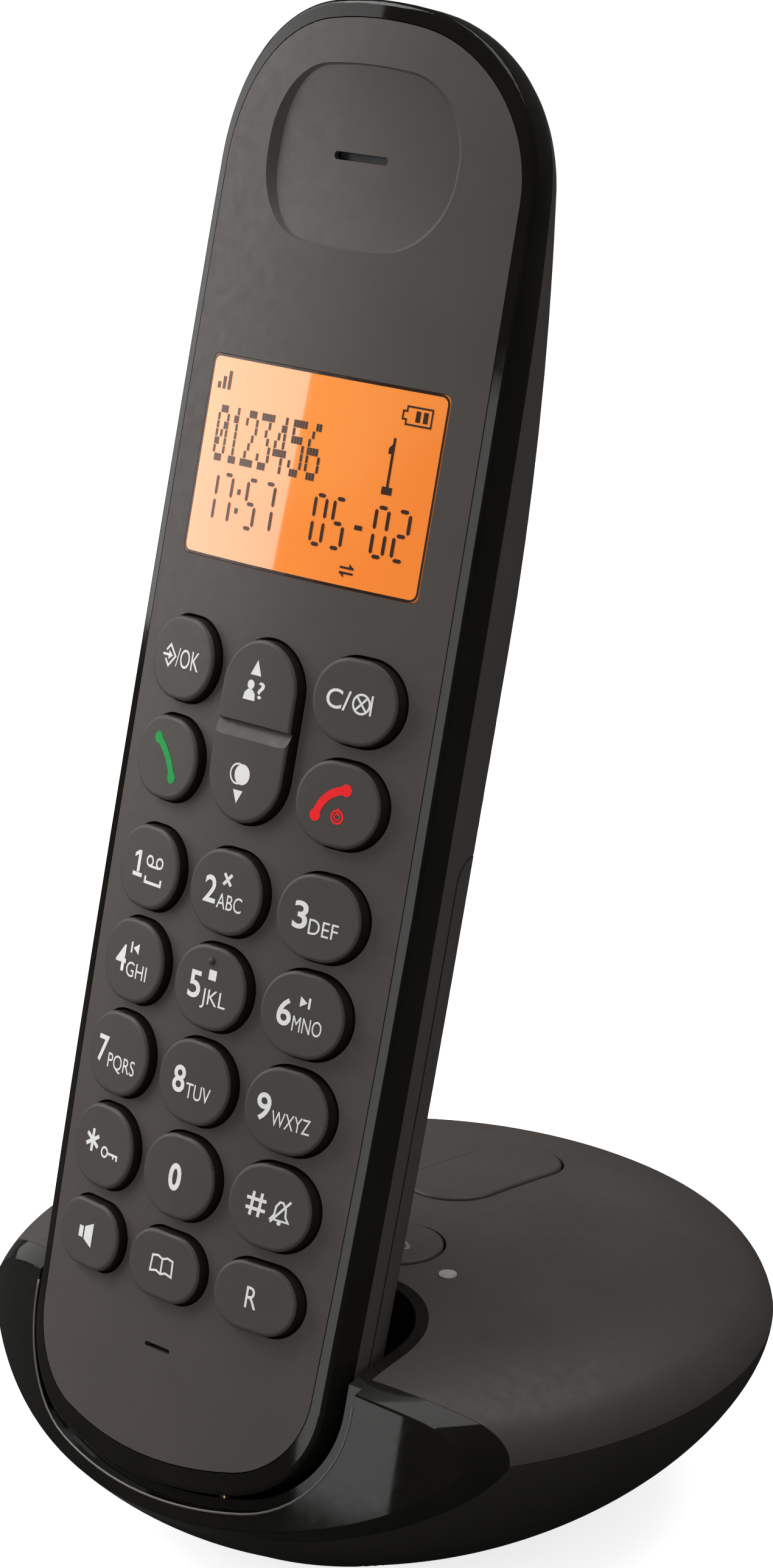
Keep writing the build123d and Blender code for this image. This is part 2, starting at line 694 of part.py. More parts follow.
with BuildPart() as top_cover:
    add(base_outer)
    add(base_inner, mode=Mode.SUBTRACT)
    split(bisect_by=Plane.XY.offset(rim_z + seam_gap), keep=Keep.TOP)
    add(face_plate_back, mode=Mode.INTERSECT)
    add(dock_hole, mode=Mode.SUBTRACT)
    add(key_cuts.part, mode=Mode.SUBTRACT)
with BuildPart() as top_posts:
    for x, y in boss_points:
        with BuildSketch(Plane.XY.offset(pcb_z + pcb_t + 0.1)):
            with Locations((x, y)):
                Circle(boss_r - 0.4)
        extrude(amount=20)
    add(base_form(base_wall / 2), mode=Mode.INTERSECT)
    for x, y in boss_points:
        with BuildSketch(Plane.XY.offset(pcb_z)):
            with Locations((x, y)):
                Circle(base_screw_r + 0.04)
        extrude(amount=screw_top_z + 0.8 - pcb_z, mode=Mode.SUBTRACT)
with BuildPart() as top_cover_done:
    add(top_cover.part)
    add(top_posts.part)
write(top_cover_done.part, "top_cover")

with BuildPart() as cradle_insert:
    add(base_outer)
    add(behind_front(0), mode=Mode.INTERSECT)
    add(behind_front(insert_t), mode=Mode.SUBTRACT)
    fillet(cradle_insert.edges().filter_by(
        lambda e: e.length > 30 and (e.center() - ORIGIN).dot(OUT) > -front_back - insert_t), insert_edge_r)
with BuildPart() as cup:
    add(dock_cup)
    add(base_form(base_wall + 0.1), mode=Mode.INTERSECT)
    add(behind_front(insert_t / 2), mode=Mode.INTERSECT)
with BuildPart() as cup_rim:
    # the cradle's wall runs up to the dome's surface
    add(dock_cup)
    add(base_outer, mode=Mode.INTERSECT)
    split(bisect_by=Plane.XY.offset(rim_z + 2), keep=Keep.TOP)
    add(behind_front(insert_t / 2), mode=Mode.INTERSECT)
with BuildPart() as pin_holes:
    for u in (-pad_u, pad_u):
        with BuildSketch(station(-hs_bottom + 3)):
            with Locations((u, -pad_n)):
                Circle(pin_r + pin_hole_gap)
        extrude(amount=20)
with BuildPart() as mouth_rebate:
    extrude(dock_outline(level(-hs_depth / 2), dock_gap + mouth_w), amount=hs_depth)
    add(behind_front(mouth_deep), mode=Mode.SUBTRACT)
with BuildPart() as cradle_insert_done:
    add(cradle_insert.part)
    add(cup.part)
    add(cup_rim.part)
    add(dock_space, mode=Mode.SUBTRACT)
    add(mouth_rebate.part, mode=Mode.SUBTRACT)
    add(pin_holes.part, mode=Mode.SUBTRACT)
write(cradle_insert_done.part, "cradle_insert")

with BuildPart() as bottom_cover:
    add(base_outer)
    add(base_inner, mode=Mode.SUBTRACT)
    split(bisect_by=Plane.XY.offset(rim_z), keep=Keep.BOTTOM)
    add(face_plate_back, mode=Mode.INTERSECT)
    add(dock_hole, mode=Mode.SUBTRACT)
    with BuildSketch(Plane.XY):
        with Locations((0, foot_y)):
            Circle(foot_r + seam_gap)
    extrude(amount=foot_t, mode=Mode.SUBTRACT)
def bay_block(grow):
    """Outside of the socket housing, grown by a gap."""
    with BuildPart() as body:
        with BuildSketch(Plane.XY.offset(bay_lo_z - bay_wall - grow)):
            with Locations((0, bay_y - bay_wall - grow + 20)):
                Rectangle(bay_w + 2 * (bay_wall + grow), 40)
        extrude(amount=bay_hi_z - bay_lo_z + 2 * (bay_wall + grow))
    return body.part


with BuildPart() as bay_space:
    with BuildSketch(Plane.XY.offset(bay_lo_z)):
        with Locations((0, bay_y + 20)):
            Rectangle(bay_w, 40)
    extrude(amount=bay_hi_z - bay_lo_z)
with BuildPart() as jack_windows:
    for x, w, h in ((line_x, line_w, line_h), (power_x, power_w, power_h)):
        with BuildSketch(Plane.XZ.offset(-bay_y + bay_wall + line_d / 2)):
            with Locations((x, pcb_z - 0.1 - h / 2)):
                Rectangle(w + 2 * jack_gap, h + 2 * jack_gap)
        extrude(amount=-bay_wall - line_d)
with BuildPart() as bottom_bosses:
    for x, y in boss_points:
        with BuildSketch(Plane.XY):
            with Locations((x, y)):
                Circle(boss_r)
        extrude(amount=pcb_z - 0.05)
    add(base_form(base_wall / 2), mode=Mode.INTERSECT)
with BuildPart() as bottom_cover_done:
    add(bottom_cover.part)
    add(bottom_bosses.part)
    add(bay_block(seam_gap), mode=Mode.SUBTRACT)
    add(jack_windows.part, mode=Mode.SUBTRACT)
    for x, y in boss_points:
        with BuildSketch(Plane.XY):
            with Locations((x, y)):
                Circle(base_head_r + 0.3)
        extrude(amount=head_seat_z, mode=Mode.SUBTRACT)
        with BuildSketch(Plane.XY):
            with Locations((x, y)):
                Circle(base_screw_r + 0.2)
        extrude(amount=pcb_z + 1, mode=Mode.SUBTRACT)
write(bottom_cover_done.part, "bottom_cover")

with BuildPart() as socket_housing:
    # tray let into the bowl's rear, open to the back for the plugs
    add(bay_block(0))
    add(base_outer, mode=Mode.INTERSECT)
    add(bay_space.part, mode=Mode.SUBTRACT)
    add(jack_windows.part, mode=Mode.SUBTRACT)
write(socket_housing.part, "socket_housing")

with BuildPart() as foot_pad:
    with BuildSketch(Plane.XY):
        with Locations((0, foot_y)):
            Circle(foot_r)
    extrude(amount=foot_t - 0.03)
    fillet(foot_pad.edges().group_by(Axis.Z)[0], 0.4)
write(foot_pad.part, "foot_pad")

with BuildPart() as base_screws:
    for x, y in boss_points:
        with BuildSketch(Plane.XY.offset(head_seat_z)):
            with Locations((x, y)):
                Circle(base_head_r)
        extrude(amount=-base_head_t)
        with BuildSketch(Plane.XY.offset(head_seat_z)):
            with Locations((x, y)):
                Circle(base_screw_r)
        extrude(amount=screw_top_z - head_seat_z)
        with BuildSketch(Plane.XY.offset(head_seat_z - base_head_t)):
            with Locations((x, y)):
                Rectangle(base_head_r * 1.3, 0.6)
                Rectangle(0.6, base_head_r * 1.3)
        extrude(amount=0.8, mode=Mode.SUBTRACT)
write(base_screws.part, "base_screws")

# ---------------------------------------------------------------- base keys and light
def top_key(x, y, length, width, name):
    """A key in the dome: cap, flange under the cover and stem down to its switch."""
    under = base_h - base_wall - top_key_travel - run_gap
    with BuildPart() as cap:
        with BuildSketch(Plane.XY.offset(under - top_flange_t)):
            with Locations((x, y)):
                if length > width:
                    SlotOverall(length, width, rotation=90)
                else:
                    Circle(width / 2)
        extrude(amount=10)
        add(Location((0, 0, top_key_proud)) * base_outer, mode=Mode.INTERSECT)
        fillet(cap.faces().sort_by(Axis.Z)[-1].edges(), 0.35)
    with BuildPart() as foot:
        with BuildSketch(Plane.XY.offset(rim_z)):
            with Locations((x, y)):
                if length > width:
                    SlotOverall(length + 2 * top_flange, width + 2 * top_flange, rotation=90)
                else:
                    Circle(width / 2 + top_flange)
        extrude(amount=10)
        add(Location((0, 0, -run_gap)) * base_inner, mode=Mode.INTERSECT)
        split(bisect_by=Plane.XY.offset(under - 2 * top_flange_t), keep=Keep.TOP)
    with BuildPart() as whole:
        add(cap.part)
        add(foot.part)
        with BuildSketch(Plane.XY.offset(pcb_z + pcb_t + switch_h + run_gap + top_key_travel)):
            with Locations((x, y)):
                Circle(stem_r)
        extrude(until=Until.NEXT)
    write(whole.part, name)


top_key(0, (pill_lo + pill_hi) / 2, pill_hi - pill_lo, pill_w, "long_key")
top_key(page_x, page_y, 2 * page_r, 2 * page_r, "page_key")

with BuildPart() as status_light:
    with BuildSketch(Plane.XY.offset(pcb_z + pcb_t + led_h + 0.1)):
        with Locations((light_x, light_y)):
            Circle(light_r)
    extrude(amount=20)
    add(Location((0, 0, 0.1)) * base_outer, mode=Mode.INTERSECT)
    with BuildSketch(Plane.XY.offset(rim_z + 3)):
        with Locations((light_x, light_y)):
            Circle(light_r + 0.8)
    extrude(amount=1.2)
write(status_light.part, "status_light")

# ---------------------------------------------------------------- base electronics
with BuildPart() as base_board:
    with BuildSketch(Plane.XY.offset(pcb_z)):
        Circle(pcb_r)
        with Locations((0, (pcb_lo + pcb_hi) / 2)):
            Rectangle(2 * pcb_r, pcb_hi - pcb_lo, mode=Mode.INTERSECT)
        with Locations(*boss_points):
            Circle(base_screw_r + 0.3, mode=Mode.SUBTRACT)
    extrude(amount=pcb_t)
write(base_board.part, "base_board")

with BuildPart() as base_switches:
    for x, y in ((0, (pill_lo + pill_hi) / 2), (page_x, page_y)):
        with BuildSketch(Plane.XY.offset(pcb_z + pcb_t)):
            with Locations((x, y)):
                Rectangle(switch_w, switch_w)
        extrude(amount=switch_h * 0.7)
        with BuildSketch(Plane.XY.offset(pcb_z + pcb_t)):
            with Locations((x, y)):
                Circle(switch_w * 0.28)
        extrude(amount=switch_h)
write(base_switches.part, "base_switches")

with BuildPart() as status_led:
    with BuildSketch(Plane.XY.offset(pcb_z + pcb_t)):
        with Locations((light_x, light_y)):
            Rectangle(2 * led_r, 2 * led_r)
    extrude(amount=led_h)
write(status_led.part, "status_led")

with BuildPart() as base_shield:
    with BuildSketch(Plane.XY.offset(pcb_z + pcb_t)):
        with Locations((shield_x, (boss_front + boss_rear) / 2)):
            RectangleRounded(shield_w, boss_rear - boss_front - 2 * (boss_r + shield_gap), 0.8)
    extrude(amount=shield_h)
write(base_shield.part, "base_shield")

with BuildPart() as antenna:
    with BuildSketch(Plane.XZ.offset(-antenna_y)):
        with Locations((antenna_x, pcb_z + pcb_t + antenna_h / 2)):
            Rectangle(antenna_w, antenna_h)
            Rectangle(antenna_w - 2 * antenna_band, antenna_h - 2 * antenna_band, mode=Mode.SUBTRACT)
    extrude(amount=antenna_t)
write(antenna.part, "antenna")

with BuildPart() as charge_pins:
    for u in (-pad_u, pad_u):
        tip = -hs_bottom + sag(bottom_arc_r, pad_u) - run_gap - 0.02
        with BuildSketch(station(tip)):
            with Locations((u, -pad_n)):
                Circle(pin_r)
        extrude(amount=pin_len)
write(charge_pins.part, "charge_pins")

with BuildPart() as line_jack:
    with BuildSketch(Plane.XZ.offset(-bay_y)):
        with Locations((line_x, pcb_z - 0.1 - line_h / 2)):
            Rectangle(line_w, line_h)
    extrude(amount=line_d)
    with BuildSketch(Plane.XZ.offset(-bay_y)):
        with Locations((line_x, pcb_z - 0.1 - line_h / 2)):
            Rectangle(line_hole_w, line_hole_h)
        with Locations((line_x, pcb_z - 0.1 - line_h / 2 - line_hole_h / 2)):
            Rectangle(line_hole_w * 0.4, 2.4)
    extrude(amount=line_hole_d, mode=Mode.SUBTRACT)
write(line_jack.part, "line_jack")

with BuildPart() as power_jack:
    with BuildSketch(Plane.XZ.offset(-bay_y)):
        with Locations((power_x, pcb_z - 0.1 - power_h / 2)):
            Rectangle(power_w, power_h)
    extrude(amount=power_d)
    with BuildSketch(Plane.XZ.offset(-bay_y)):
        with Locations((power_x, pcb_z - 0.1 - power_h / 2)):
            Circle(power_hole_r)
            Circle(power_pin_r, mode=Mode.SUBTRACT)
    extrude(amount=power_hole_d, mode=Mode.SUBTRACT)
write(power_jack.part, "power_jack")
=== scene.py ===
"""Looks of a cordless phone handset standing in its round charging base.

Every length written here is in millimetres unless its name ends in _m; the scene itself is in metres.
"""
from __future__ import annotations

import json
import logging
import math
from dataclasses import dataclass, field
from enum import Enum
from typing import Callable, Sequence

import bmesh
import bpy
from mathutils import Matrix, Vector

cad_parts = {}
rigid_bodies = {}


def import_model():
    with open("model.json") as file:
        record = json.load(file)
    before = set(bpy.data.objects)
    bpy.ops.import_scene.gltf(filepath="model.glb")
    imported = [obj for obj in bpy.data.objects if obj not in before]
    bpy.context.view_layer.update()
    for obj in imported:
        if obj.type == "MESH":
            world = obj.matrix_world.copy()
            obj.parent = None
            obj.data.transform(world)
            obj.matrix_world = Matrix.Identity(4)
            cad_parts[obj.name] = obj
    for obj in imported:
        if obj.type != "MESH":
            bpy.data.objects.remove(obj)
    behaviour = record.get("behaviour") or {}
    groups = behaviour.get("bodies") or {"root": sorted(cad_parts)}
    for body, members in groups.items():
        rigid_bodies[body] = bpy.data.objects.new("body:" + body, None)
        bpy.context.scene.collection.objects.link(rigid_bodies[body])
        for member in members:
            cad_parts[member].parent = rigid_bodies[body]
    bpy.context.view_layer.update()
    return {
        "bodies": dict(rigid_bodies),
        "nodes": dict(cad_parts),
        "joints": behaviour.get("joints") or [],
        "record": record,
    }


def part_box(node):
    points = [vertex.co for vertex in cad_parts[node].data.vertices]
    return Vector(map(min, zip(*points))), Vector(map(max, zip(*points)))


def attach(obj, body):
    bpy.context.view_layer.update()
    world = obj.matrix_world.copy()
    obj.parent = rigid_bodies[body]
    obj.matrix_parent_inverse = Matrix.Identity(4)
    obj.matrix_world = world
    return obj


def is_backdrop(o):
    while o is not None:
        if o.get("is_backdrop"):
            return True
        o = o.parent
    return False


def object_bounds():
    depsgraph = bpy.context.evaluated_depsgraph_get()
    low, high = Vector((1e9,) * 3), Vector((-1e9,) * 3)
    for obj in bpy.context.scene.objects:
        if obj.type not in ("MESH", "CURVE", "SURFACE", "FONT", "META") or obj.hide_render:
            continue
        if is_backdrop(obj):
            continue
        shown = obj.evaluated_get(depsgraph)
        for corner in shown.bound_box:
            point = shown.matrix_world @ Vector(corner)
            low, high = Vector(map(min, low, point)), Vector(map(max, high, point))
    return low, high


LOG = logging.getLogger("cordless_phone")
MM = 0.001
Colour = tuple[float, float, float]
Point2 = tuple[float, float]


# ------------------------------------------------------------------ finishes
class Surface(Enum):
    """Kind of surface texture a moulded finish carries."""

    SPARK = "spark"
    SATIN = "satin"
    POLISHED = "polished"


@dataclass(frozen=True)
class NodeBook:
    """Shader nodes of one material and the links between them."""

    material: bpy.types.Material

    def add(self, kind: str, **values: object) -> bpy.types.Node:
        """Add a node and set its attributes.

        Args:
            kind: Blender's node class name.
            **values: Attributes to set on the node.

        Returns:
            The new node.
        """
        node = self.material.node_tree.nodes.new(kind)
        for key, value in values.items():
            setattr(node, key, value)
        return node

    def link(self, source: bpy.types.NodeSocket, target: bpy.types.NodeSocket) -> None:
        """Join an output to an input."""
        self.material.node_tree.links.new(source, target)

    def noise(self, scale: float, detail: float, rough: float = 0.5) -> bpy.types.NodeSocket:
        """Noise in object space.

        Args:
            scale: Cells per metre.
            detail: Octaves.
            rough: Octave roughness.

        Returns:
            The factor output.
        """
        place = self.add("ShaderNodeTexCoord")
        noise = self.add("ShaderNodeTexNoise")
        noise.inputs["Scale"].default_value = scale
        noise.inputs["Detail"].default_value = detail
        noise.inputs["Roughness"].default_value = rough
        self.link(place.outputs["Object"], noise.inputs["Vector"])
        return noise.outputs["Fac"]

    def ramp(self, factor: bpy.types.NodeSocket, low: Colour, high: Colour,
             start: float = 0.3, end: float = 0.7) -> bpy.types.NodeSocket:
        """Colour ramp between two colours.

        Args:
            factor: What drives the ramp.
            low: Colour at the start.
            high: Colour at the end.
            start: Factor of the low colour.
            end: Factor of the high colour.

        Returns:
            The colour output.
        """
        node = self.add("ShaderNodeValToRGB")
        node.color_ramp.elements[0].position = start
        node.color_ramp.elements[0].color = (*low, 1.0)
        node.color_ramp.elements[1].position = end
        node.color_ramp.elements[1].color = (*high, 1.0)
        self.link(factor, node.inputs["Fac"])
        return node.outputs["Color"]

    def span(self, factor: bpy.types.NodeSocket, low: float, high: float) -> bpy.types.NodeSocket:
        """Map a factor of 0.3 to 0.7 onto a range."""
        node = self.add("ShaderNodeMapRange")
        for name, value in (("From Min", 0.3), ("From Max", 0.7), ("To Min", low), ("To Max", high)):
            node.inputs[name].default_value = value
        self.link(factor, node.inputs["Value"])
        return node.outputs["Result"]

    def bump(self, height: bpy.types.NodeSocket, depth_mm: float,
             strength: float = 1.0, under: bpy.types.NodeSocket | None = None) -> bpy.types.NodeSocket:
        """Bump from a height.

        Args:
            height: Height output, 0 to 1.
            depth_mm: Depth of the relief.
            strength: Share of it that shows.
            under: Normal of a coarser bump beneath.

        Returns:
            The normal output.
        """
        node = self.add("ShaderNodeBump")
        node.inputs["Distance"].default_value = depth_mm * MM
        node.inputs["Strength"].default_value = strength
        self.link(height, node.inputs["Height"])
        if under is not None:
            self.link(under, node.inputs["Normal"])
        return node.outputs["Normal"]


def fresh_material(name: str) -> tuple[bpy.types.Material, NodeBook, bpy.types.Node]:
    """Make a node material with a bare principled shader.

    Args:
        name: Material name.

    Returns:
        The material, its node book and its principled shader.
    """
    material = bpy.data.materials.new(name)
    material.use_nodes = True
    shader = material.node_tree.nodes["Principled BSDF"]
    return material, NodeBook(material), shader


@dataclass(frozen=True)
class MouldedPlastic:
    """Moulded plastic with a spark-eroded, satin or polished surface."""

    name: str
    tint: Colour
    spread: float = 0.12
    roughness: float = 0.5
    surface: Surface = Surface.SPARK
    gloss: float = 0.5
    coat: float = 0.0

    def build(self) -> bpy.types.Material:
        """Return the finished material."""
        material, book, shader = fresh_material(self.name)
        cloud = book.noise(90.0, 3.0)
        low = tuple(c * (1 - self.spread) for c in self.tint)
        high = tuple(min(1.0, c * (1 + self.spread)) for c in self.tint)
        book.link(book.ramp(cloud, low, high), shader.inputs["Base Color"])
        wear = book.noise(700.0, 4.0, 0.6)
        band = 0.07 if self.surface is not Surface.POLISHED else 0.02
        book.link(book.span(wear, max(0.01, self.roughness - band), self.roughness + band),
                  shader.inputs["Roughness"])
        shader.inputs["Specular IOR Level"].default_value = self.gloss
        shader.inputs["Coat Weight"].default_value = self.coat
        shader.inputs["Coat Roughness"].default_value = 0.04
        relief = {Surface.SPARK: (5200.0, 0.012), Surface.SATIN: (2600.0, 0.006),
                  Surface.POLISHED: (160.0, 0.004)}[self.surface]
        book.link(book.bump(book.noise(relief[0], 2.0), relief[1], 0.6), shader.inputs["Normal"])
        return material


@dataclass(frozen=True)
class Metal:
    """Plated metal with fine scratches."""

    name: str
    tint: Colour
    roughness: float = 0.3

    def build(self) -> bpy.types.Material:
        """Return the finished material."""
        material, book, shader = fresh_material(self.name)
        low = tuple(c * 0.82 for c in self.tint)
        book.link(book.ramp(book.noise(300.0, 4.0), low, self.tint), shader.inputs["Base Color"])
        book.link(book.span(book.noise(1500.0, 5.0), self.roughness * 0.7, self.roughness * 1.3),
                  shader.inputs["Roughness"])
        shader.inputs["Metallic"].default_value = 1.0
        book.link(book.bump(book.noise(3000.0, 2.0), 0.004, 0.5), shader.inputs["Normal"])
        return material


@dataclass(frozen=True)
class Ink:
    """Printed or backlit mark: flat ink with a slightly uneven edge of tone."""

    name: str
    tint: Colour
    roughness: float = 0.45
    glow: float = 0.0

    def build(self) -> bpy.types.Material:
        """Return the finished material."""
        material, book, shader = fresh_material(self.name)
        low = tuple(c * 0.93 for c in self.tint)
        colour = book.ramp(book.noise(900.0, 2.0), low, self.tint)
        book.link(colour, shader.inputs["Base Color"])
        shader.inputs["Roughness"].default_value = self.roughness
        if self.glow:
            book.link(colour, shader.inputs["Emission Color"])
            shader.inputs["Emission Strength"].default_value = self.glow
        book.link(book.bump(book.noise(4000.0, 2.0), 0.003, 0.4), shader.inputs["Normal"])
        return material


@dataclass(frozen=True)
class DisplayFilm:
    """Amber backlit film behind a clear, polished window."""

    name: str = "display_amber"
    edge: Colour = (0.86, 0.225, 0.035)
    middle: Colour = (0.88, 0.275, 0.055)
    glow: float = 0.42

    def build(self) -> bpy.types.Material:
        """Return the finished material."""
        material, book, shader = fresh_material(self.name)
        colour = book.ramp(book.noise(38.0, 1.0), self.edge, self.middle, 0.38, 0.58)
        book.link(colour, shader.inputs["Base Color"])
        book.link(colour, shader.inputs["Emission Color"])
        shader.inputs["Emission Strength"].default_value = self.glow
        book.link(book.span(book.noise(800.0, 3.0), 0.05, 0.09), shader.inputs["Roughness"])
        shader.inputs["Specular IOR Level"].default_value = 0.7
        shader.inputs["Coat Weight"].default_value = 1.0
        shader.inputs["Coat Roughness"].default_value = 0.02
        return material


@dataclass(frozen=True)
class ClearLens:
    """Frosted clear plastic of a light pipe."""

    name: str = "light_clear"

    def build(self) -> bpy.types.Material:
        """Return the finished material."""
        material, book, shader = fresh_material(self.name)
        book.link(book.ramp(book.noise(900.0, 2.0), (0.42, 0.40, 0.38), (0.55, 0.53, 0.50)),
                  shader.inputs["Base Color"])
        shader.inputs["Roughness"].default_value = 0.25
        shader.inputs["Transmission Weight"].default_value = 0.25
        book.link(book.bump(book.noise(2600.0, 2.0), 0.004, 0.5), shader.inputs["Normal"])
        return material


@dataclass
class FinishShelf:
    """Every finish of the phone, each built once."""

    built: dict[str, bpy.types.Material] = field(default_factory=dict)

    def take(self, key: str) -> bpy.types.Material:
        """Return the material for a finish name, building it on first use."""
        if key not in self.built:
            self.built[key] = FINISHES[key].build()
        return self.built[key]


WARM_GREY: Colour = (0.084, 0.0725, 0.0655)
FINISHES: dict[str, object] = {
    "cover_grey": MouldedPlastic("cover_grey", WARM_GREY, 0.05, 0.5, Surface.SPARK, 0.3),
    "key_grey": MouldedPlastic("key_grey", (0.074, 0.066, 0.0595), 0.05, 0.46, Surface.SATIN, 0.3),
    # finish of the key caps' walls: the same key plastic darkened to near black, painted shade of the walls
    # and gaps
    "key_wall_painted_shade": MouldedPlastic("key_wall_painted_shade", (0.016, 0.014, 0.011), 0.1, 0.5, Surface.SATIN, 0.3),
    "shell_grey": MouldedPlastic("shell_grey", (0.080, 0.070, 0.063), 0.06, 0.52, Surface.SPARK, 0.3),
    "dome_grey": MouldedPlastic("dome_grey", (0.064, 0.056, 0.050), 0.05, 0.52, Surface.SPARK, 0.3),
    "under_grey": MouldedPlastic("under_grey", (0.031, 0.029, 0.024), 0.08, 0.6, Surface.SPARK, 0.16),
    "piano_black": MouldedPlastic("piano_black", (0.0095, 0.0088, 0.0070), 0.2, 0.06,
                                  Surface.POLISHED, 0.24),
    "rubber_black": MouldedPlastic("rubber_black", (0.022, 0.021, 0.020), 0.15, 0.8, Surface.SPARK, 0.3),
    "board_green": MouldedPlastic("board_green", (0.02, 0.13, 0.05), 0.2, 0.3, Surface.SATIN, 0.5, 0.3),
    "moulded_black": MouldedPlastic("moulded_black", (0.02, 0.019, 0.018), 0.15, 0.5, Surface.SATIN),
    "cell_sleeve": MouldedPlastic("cell_sleeve", (0.05, 0.22, 0.10), 0.1, 0.25, Surface.POLISHED, 0.5, 0.4),
    "film_grey": MouldedPlastic("film_grey", (0.45, 0.25, 0.10), 0.1, 0.3, Surface.POLISHED),
    "tin": Metal("tin", (0.72, 0.72, 0.70), 0.32),
    "zinc": Metal("zinc", (0.55, 0.55, 0.56), 0.28),
    "gold_flash": Metal("gold_flash", (0.85, 0.62, 0.28), 0.22),
    "display_amber": DisplayFilm(),
    "light_clear": ClearLens(),
    "legend_white": Ink("legend_white", (0.86, 0.86, 0.85), 0.5, 0.08),
    "talk_green": Ink("talk_green", (0.0, 0.26, 0.045), 0.7, 0.4),
    "end_red": Ink("end_red", (0.76, 0.0, 0.003), 0.7, 0.35),
    "segment_dark": Ink("segment_dark", (0.060, 0.030, 0.022), 0.25),
    "frame_black": Ink("frame_black", (0.020, 0.008, 0.004), 0.3),
    "icon_pale": Ink("icon_pale", (0.19, 0.18, 0.17), 0.5),
    # pale polished grey of the cradle's rim bead: a painted highlight on the black insert's edge
    "bead_painted_highlight": MouldedPlastic("bead_painted_highlight", (0.16, 0.15, 0.145), 0.1, 0.25, Surface.POLISHED, 0.6),
}
NODE_FINISH: dict[str, str] = {
    "front_cover": "cover_grey", "trim_ring": "piano_black", "rear_shell": "shell_grey",
    "battery_door": "shell_grey", "charge_pads": "gold_flash", "handset_screws": "zinc",
    "display_lens": "display_amber", "display_module": "film_grey", "keypad_mat": "rubber_black",
    "handset_board": "board_green", "handset_shield": "tin", "earpiece": "moulded_black",
    "microphone": "tin", "ringer": "moulded_black", "battery_cells": "cell_sleeve",
    "battery_springs": "tin", "top_cover": "dome_grey", "bottom_cover": "under_grey",
    "socket_housing": "under_grey",
    "cradle_insert": "piano_black", "foot_pad": "rubber_black", "base_screws": "zinc",
    "status_light": "light_clear", "base_board": "board_green", "base_switches": "moulded_black",
    "status_led": "light_clear", "base_shield": "tin", "antenna": "gold_flash",
    "charge_pins": "gold_flash", "line_jack": "moulded_black", "power_jack": "moulded_black",
    "long_key": "dome_grey", "page_key": "dome_grey",
}


# ------------------------------------------------------------------ drawing in a plane
@dataclass
class Drawing:
    """Flat artwork in millimetres, made of faces in a bmesh."""

    mesh: bmesh.types.BMesh = field(default_factory=bmesh.new)

    def area(self, points: Sequence[Point2]) -> "Drawing":
        """Fill a polygon."""
        self.mesh.faces.new([self.mesh.verts.new((x, y, 0.0)) for x, y in points])
        return self

    def line(self, points: Sequence[Point2], width: float, closed: bool = False) -> "Drawing":
        """Draw a line of even width with mitred corners.

        Args:
            points: Corners of the line.
            width: Its width.
            closed: Whether it ends where it starts.

        Returns:
            The drawing, for chaining.
        """
        count = len(points)
        left: list[bmesh.types.BMVert] = []
        right: list[bmesh.types.BMVert] = []
        for k, (x, y) in enumerate(points):
            before = Vector(points[k - 1] if k or closed else points[0])
            after = Vector(points[(k + 1) % count] if k + 1 < count or closed else points[-1])
            here = Vector((x, y))
            arms = [arm.normalized() for arm in (here - before, after - here) if arm.length > 1e-9]
            run = sum(arms, Vector((0.0, 0.0))).normalized()
            side = Vector((-run.y, run.x))
            reach = width / 2 / max(0.5, abs(side.dot(Vector((-arms[0].y, arms[0].x)))))
            left.append(self.mesh.verts.new((x + side.x * reach, y + side.y * reach, 0.0)))
            right.append(self.mesh.verts.new((x - side.x * reach, y - side.y * reach, 0.0)))
        for k in range(count if closed else count - 1):
            nxt = (k + 1) % count
            self.mesh.faces.new((left[k], right[k], right[nxt], left[nxt]))
        return self

    def disc(self, x: float, y: float, radius: float) -> "Drawing":
        """Fill a disc."""
        return self.area([(x + radius * math.cos(a), y + radius * math.sin(a))
                          for a in (2 * math.pi * k / 24 for k in range(24))])

    def ring(self, x: float, y: float, radius: float, width: float) -> "Drawing":
        """Draw a circle."""
        return self.line([(x + radius * math.cos(a), y + radius * math.sin(a))
                          for a in (2 * math.pi * k / 28 for k in range(28))], width, True)

    def words(self, text: str, x: float, y: float, height: float, width: float,
              weight: float = 0.012) -> "Drawing":
        """Set a line of text in a box.

        Args:
            text: The characters.
            x: Middle of the box across.
            y: Middle of the box along.
            height: Height of the text.
            width: Width of the text.
            weight: How much the strokes are fattened.

        Returns:
            The drawing, for chaining.
        """
        curve = bpy.data.curves.new("words", "FONT")
        curve.body = text
        curve.size = 1.0
        curve.offset = weight
        curve.resolution_u = 4
        holder = bpy.data.objects.new("words", curve)
        flat = bpy.data.meshes.new_from_object(holder)
        across = [v.co.x for v in flat.vertices]
        # a letter's tail hangs below the line and isn't part of its height
        upward = [max(0.0, v.co.y) for v in flat.vertices]
        low, span, rise = min(across), max(across) - min(across), max(upward)
        flat.transform(Matrix.Translation((x, y - height / 2, 0.0))
                       @ Matrix.Diagonal((width / span, height / rise, 1.0, 1.0))
                       @ Matrix.Translation((-low - span / 2, 0.0, 0.0)))
        self.mesh.from_mesh(flat)
        bpy.data.meshes.remove(flat)
        bpy.data.objects.remove(holder)
        bpy.data.curves.remove(curve)
        return self

    def shift(self, x: float, y: float) -> "Drawing":
        """Move everything drawn so far."""
        bmesh.ops.translate(self.mesh, verts=self.mesh.verts, vec=(x, y, 0.0))
        return self


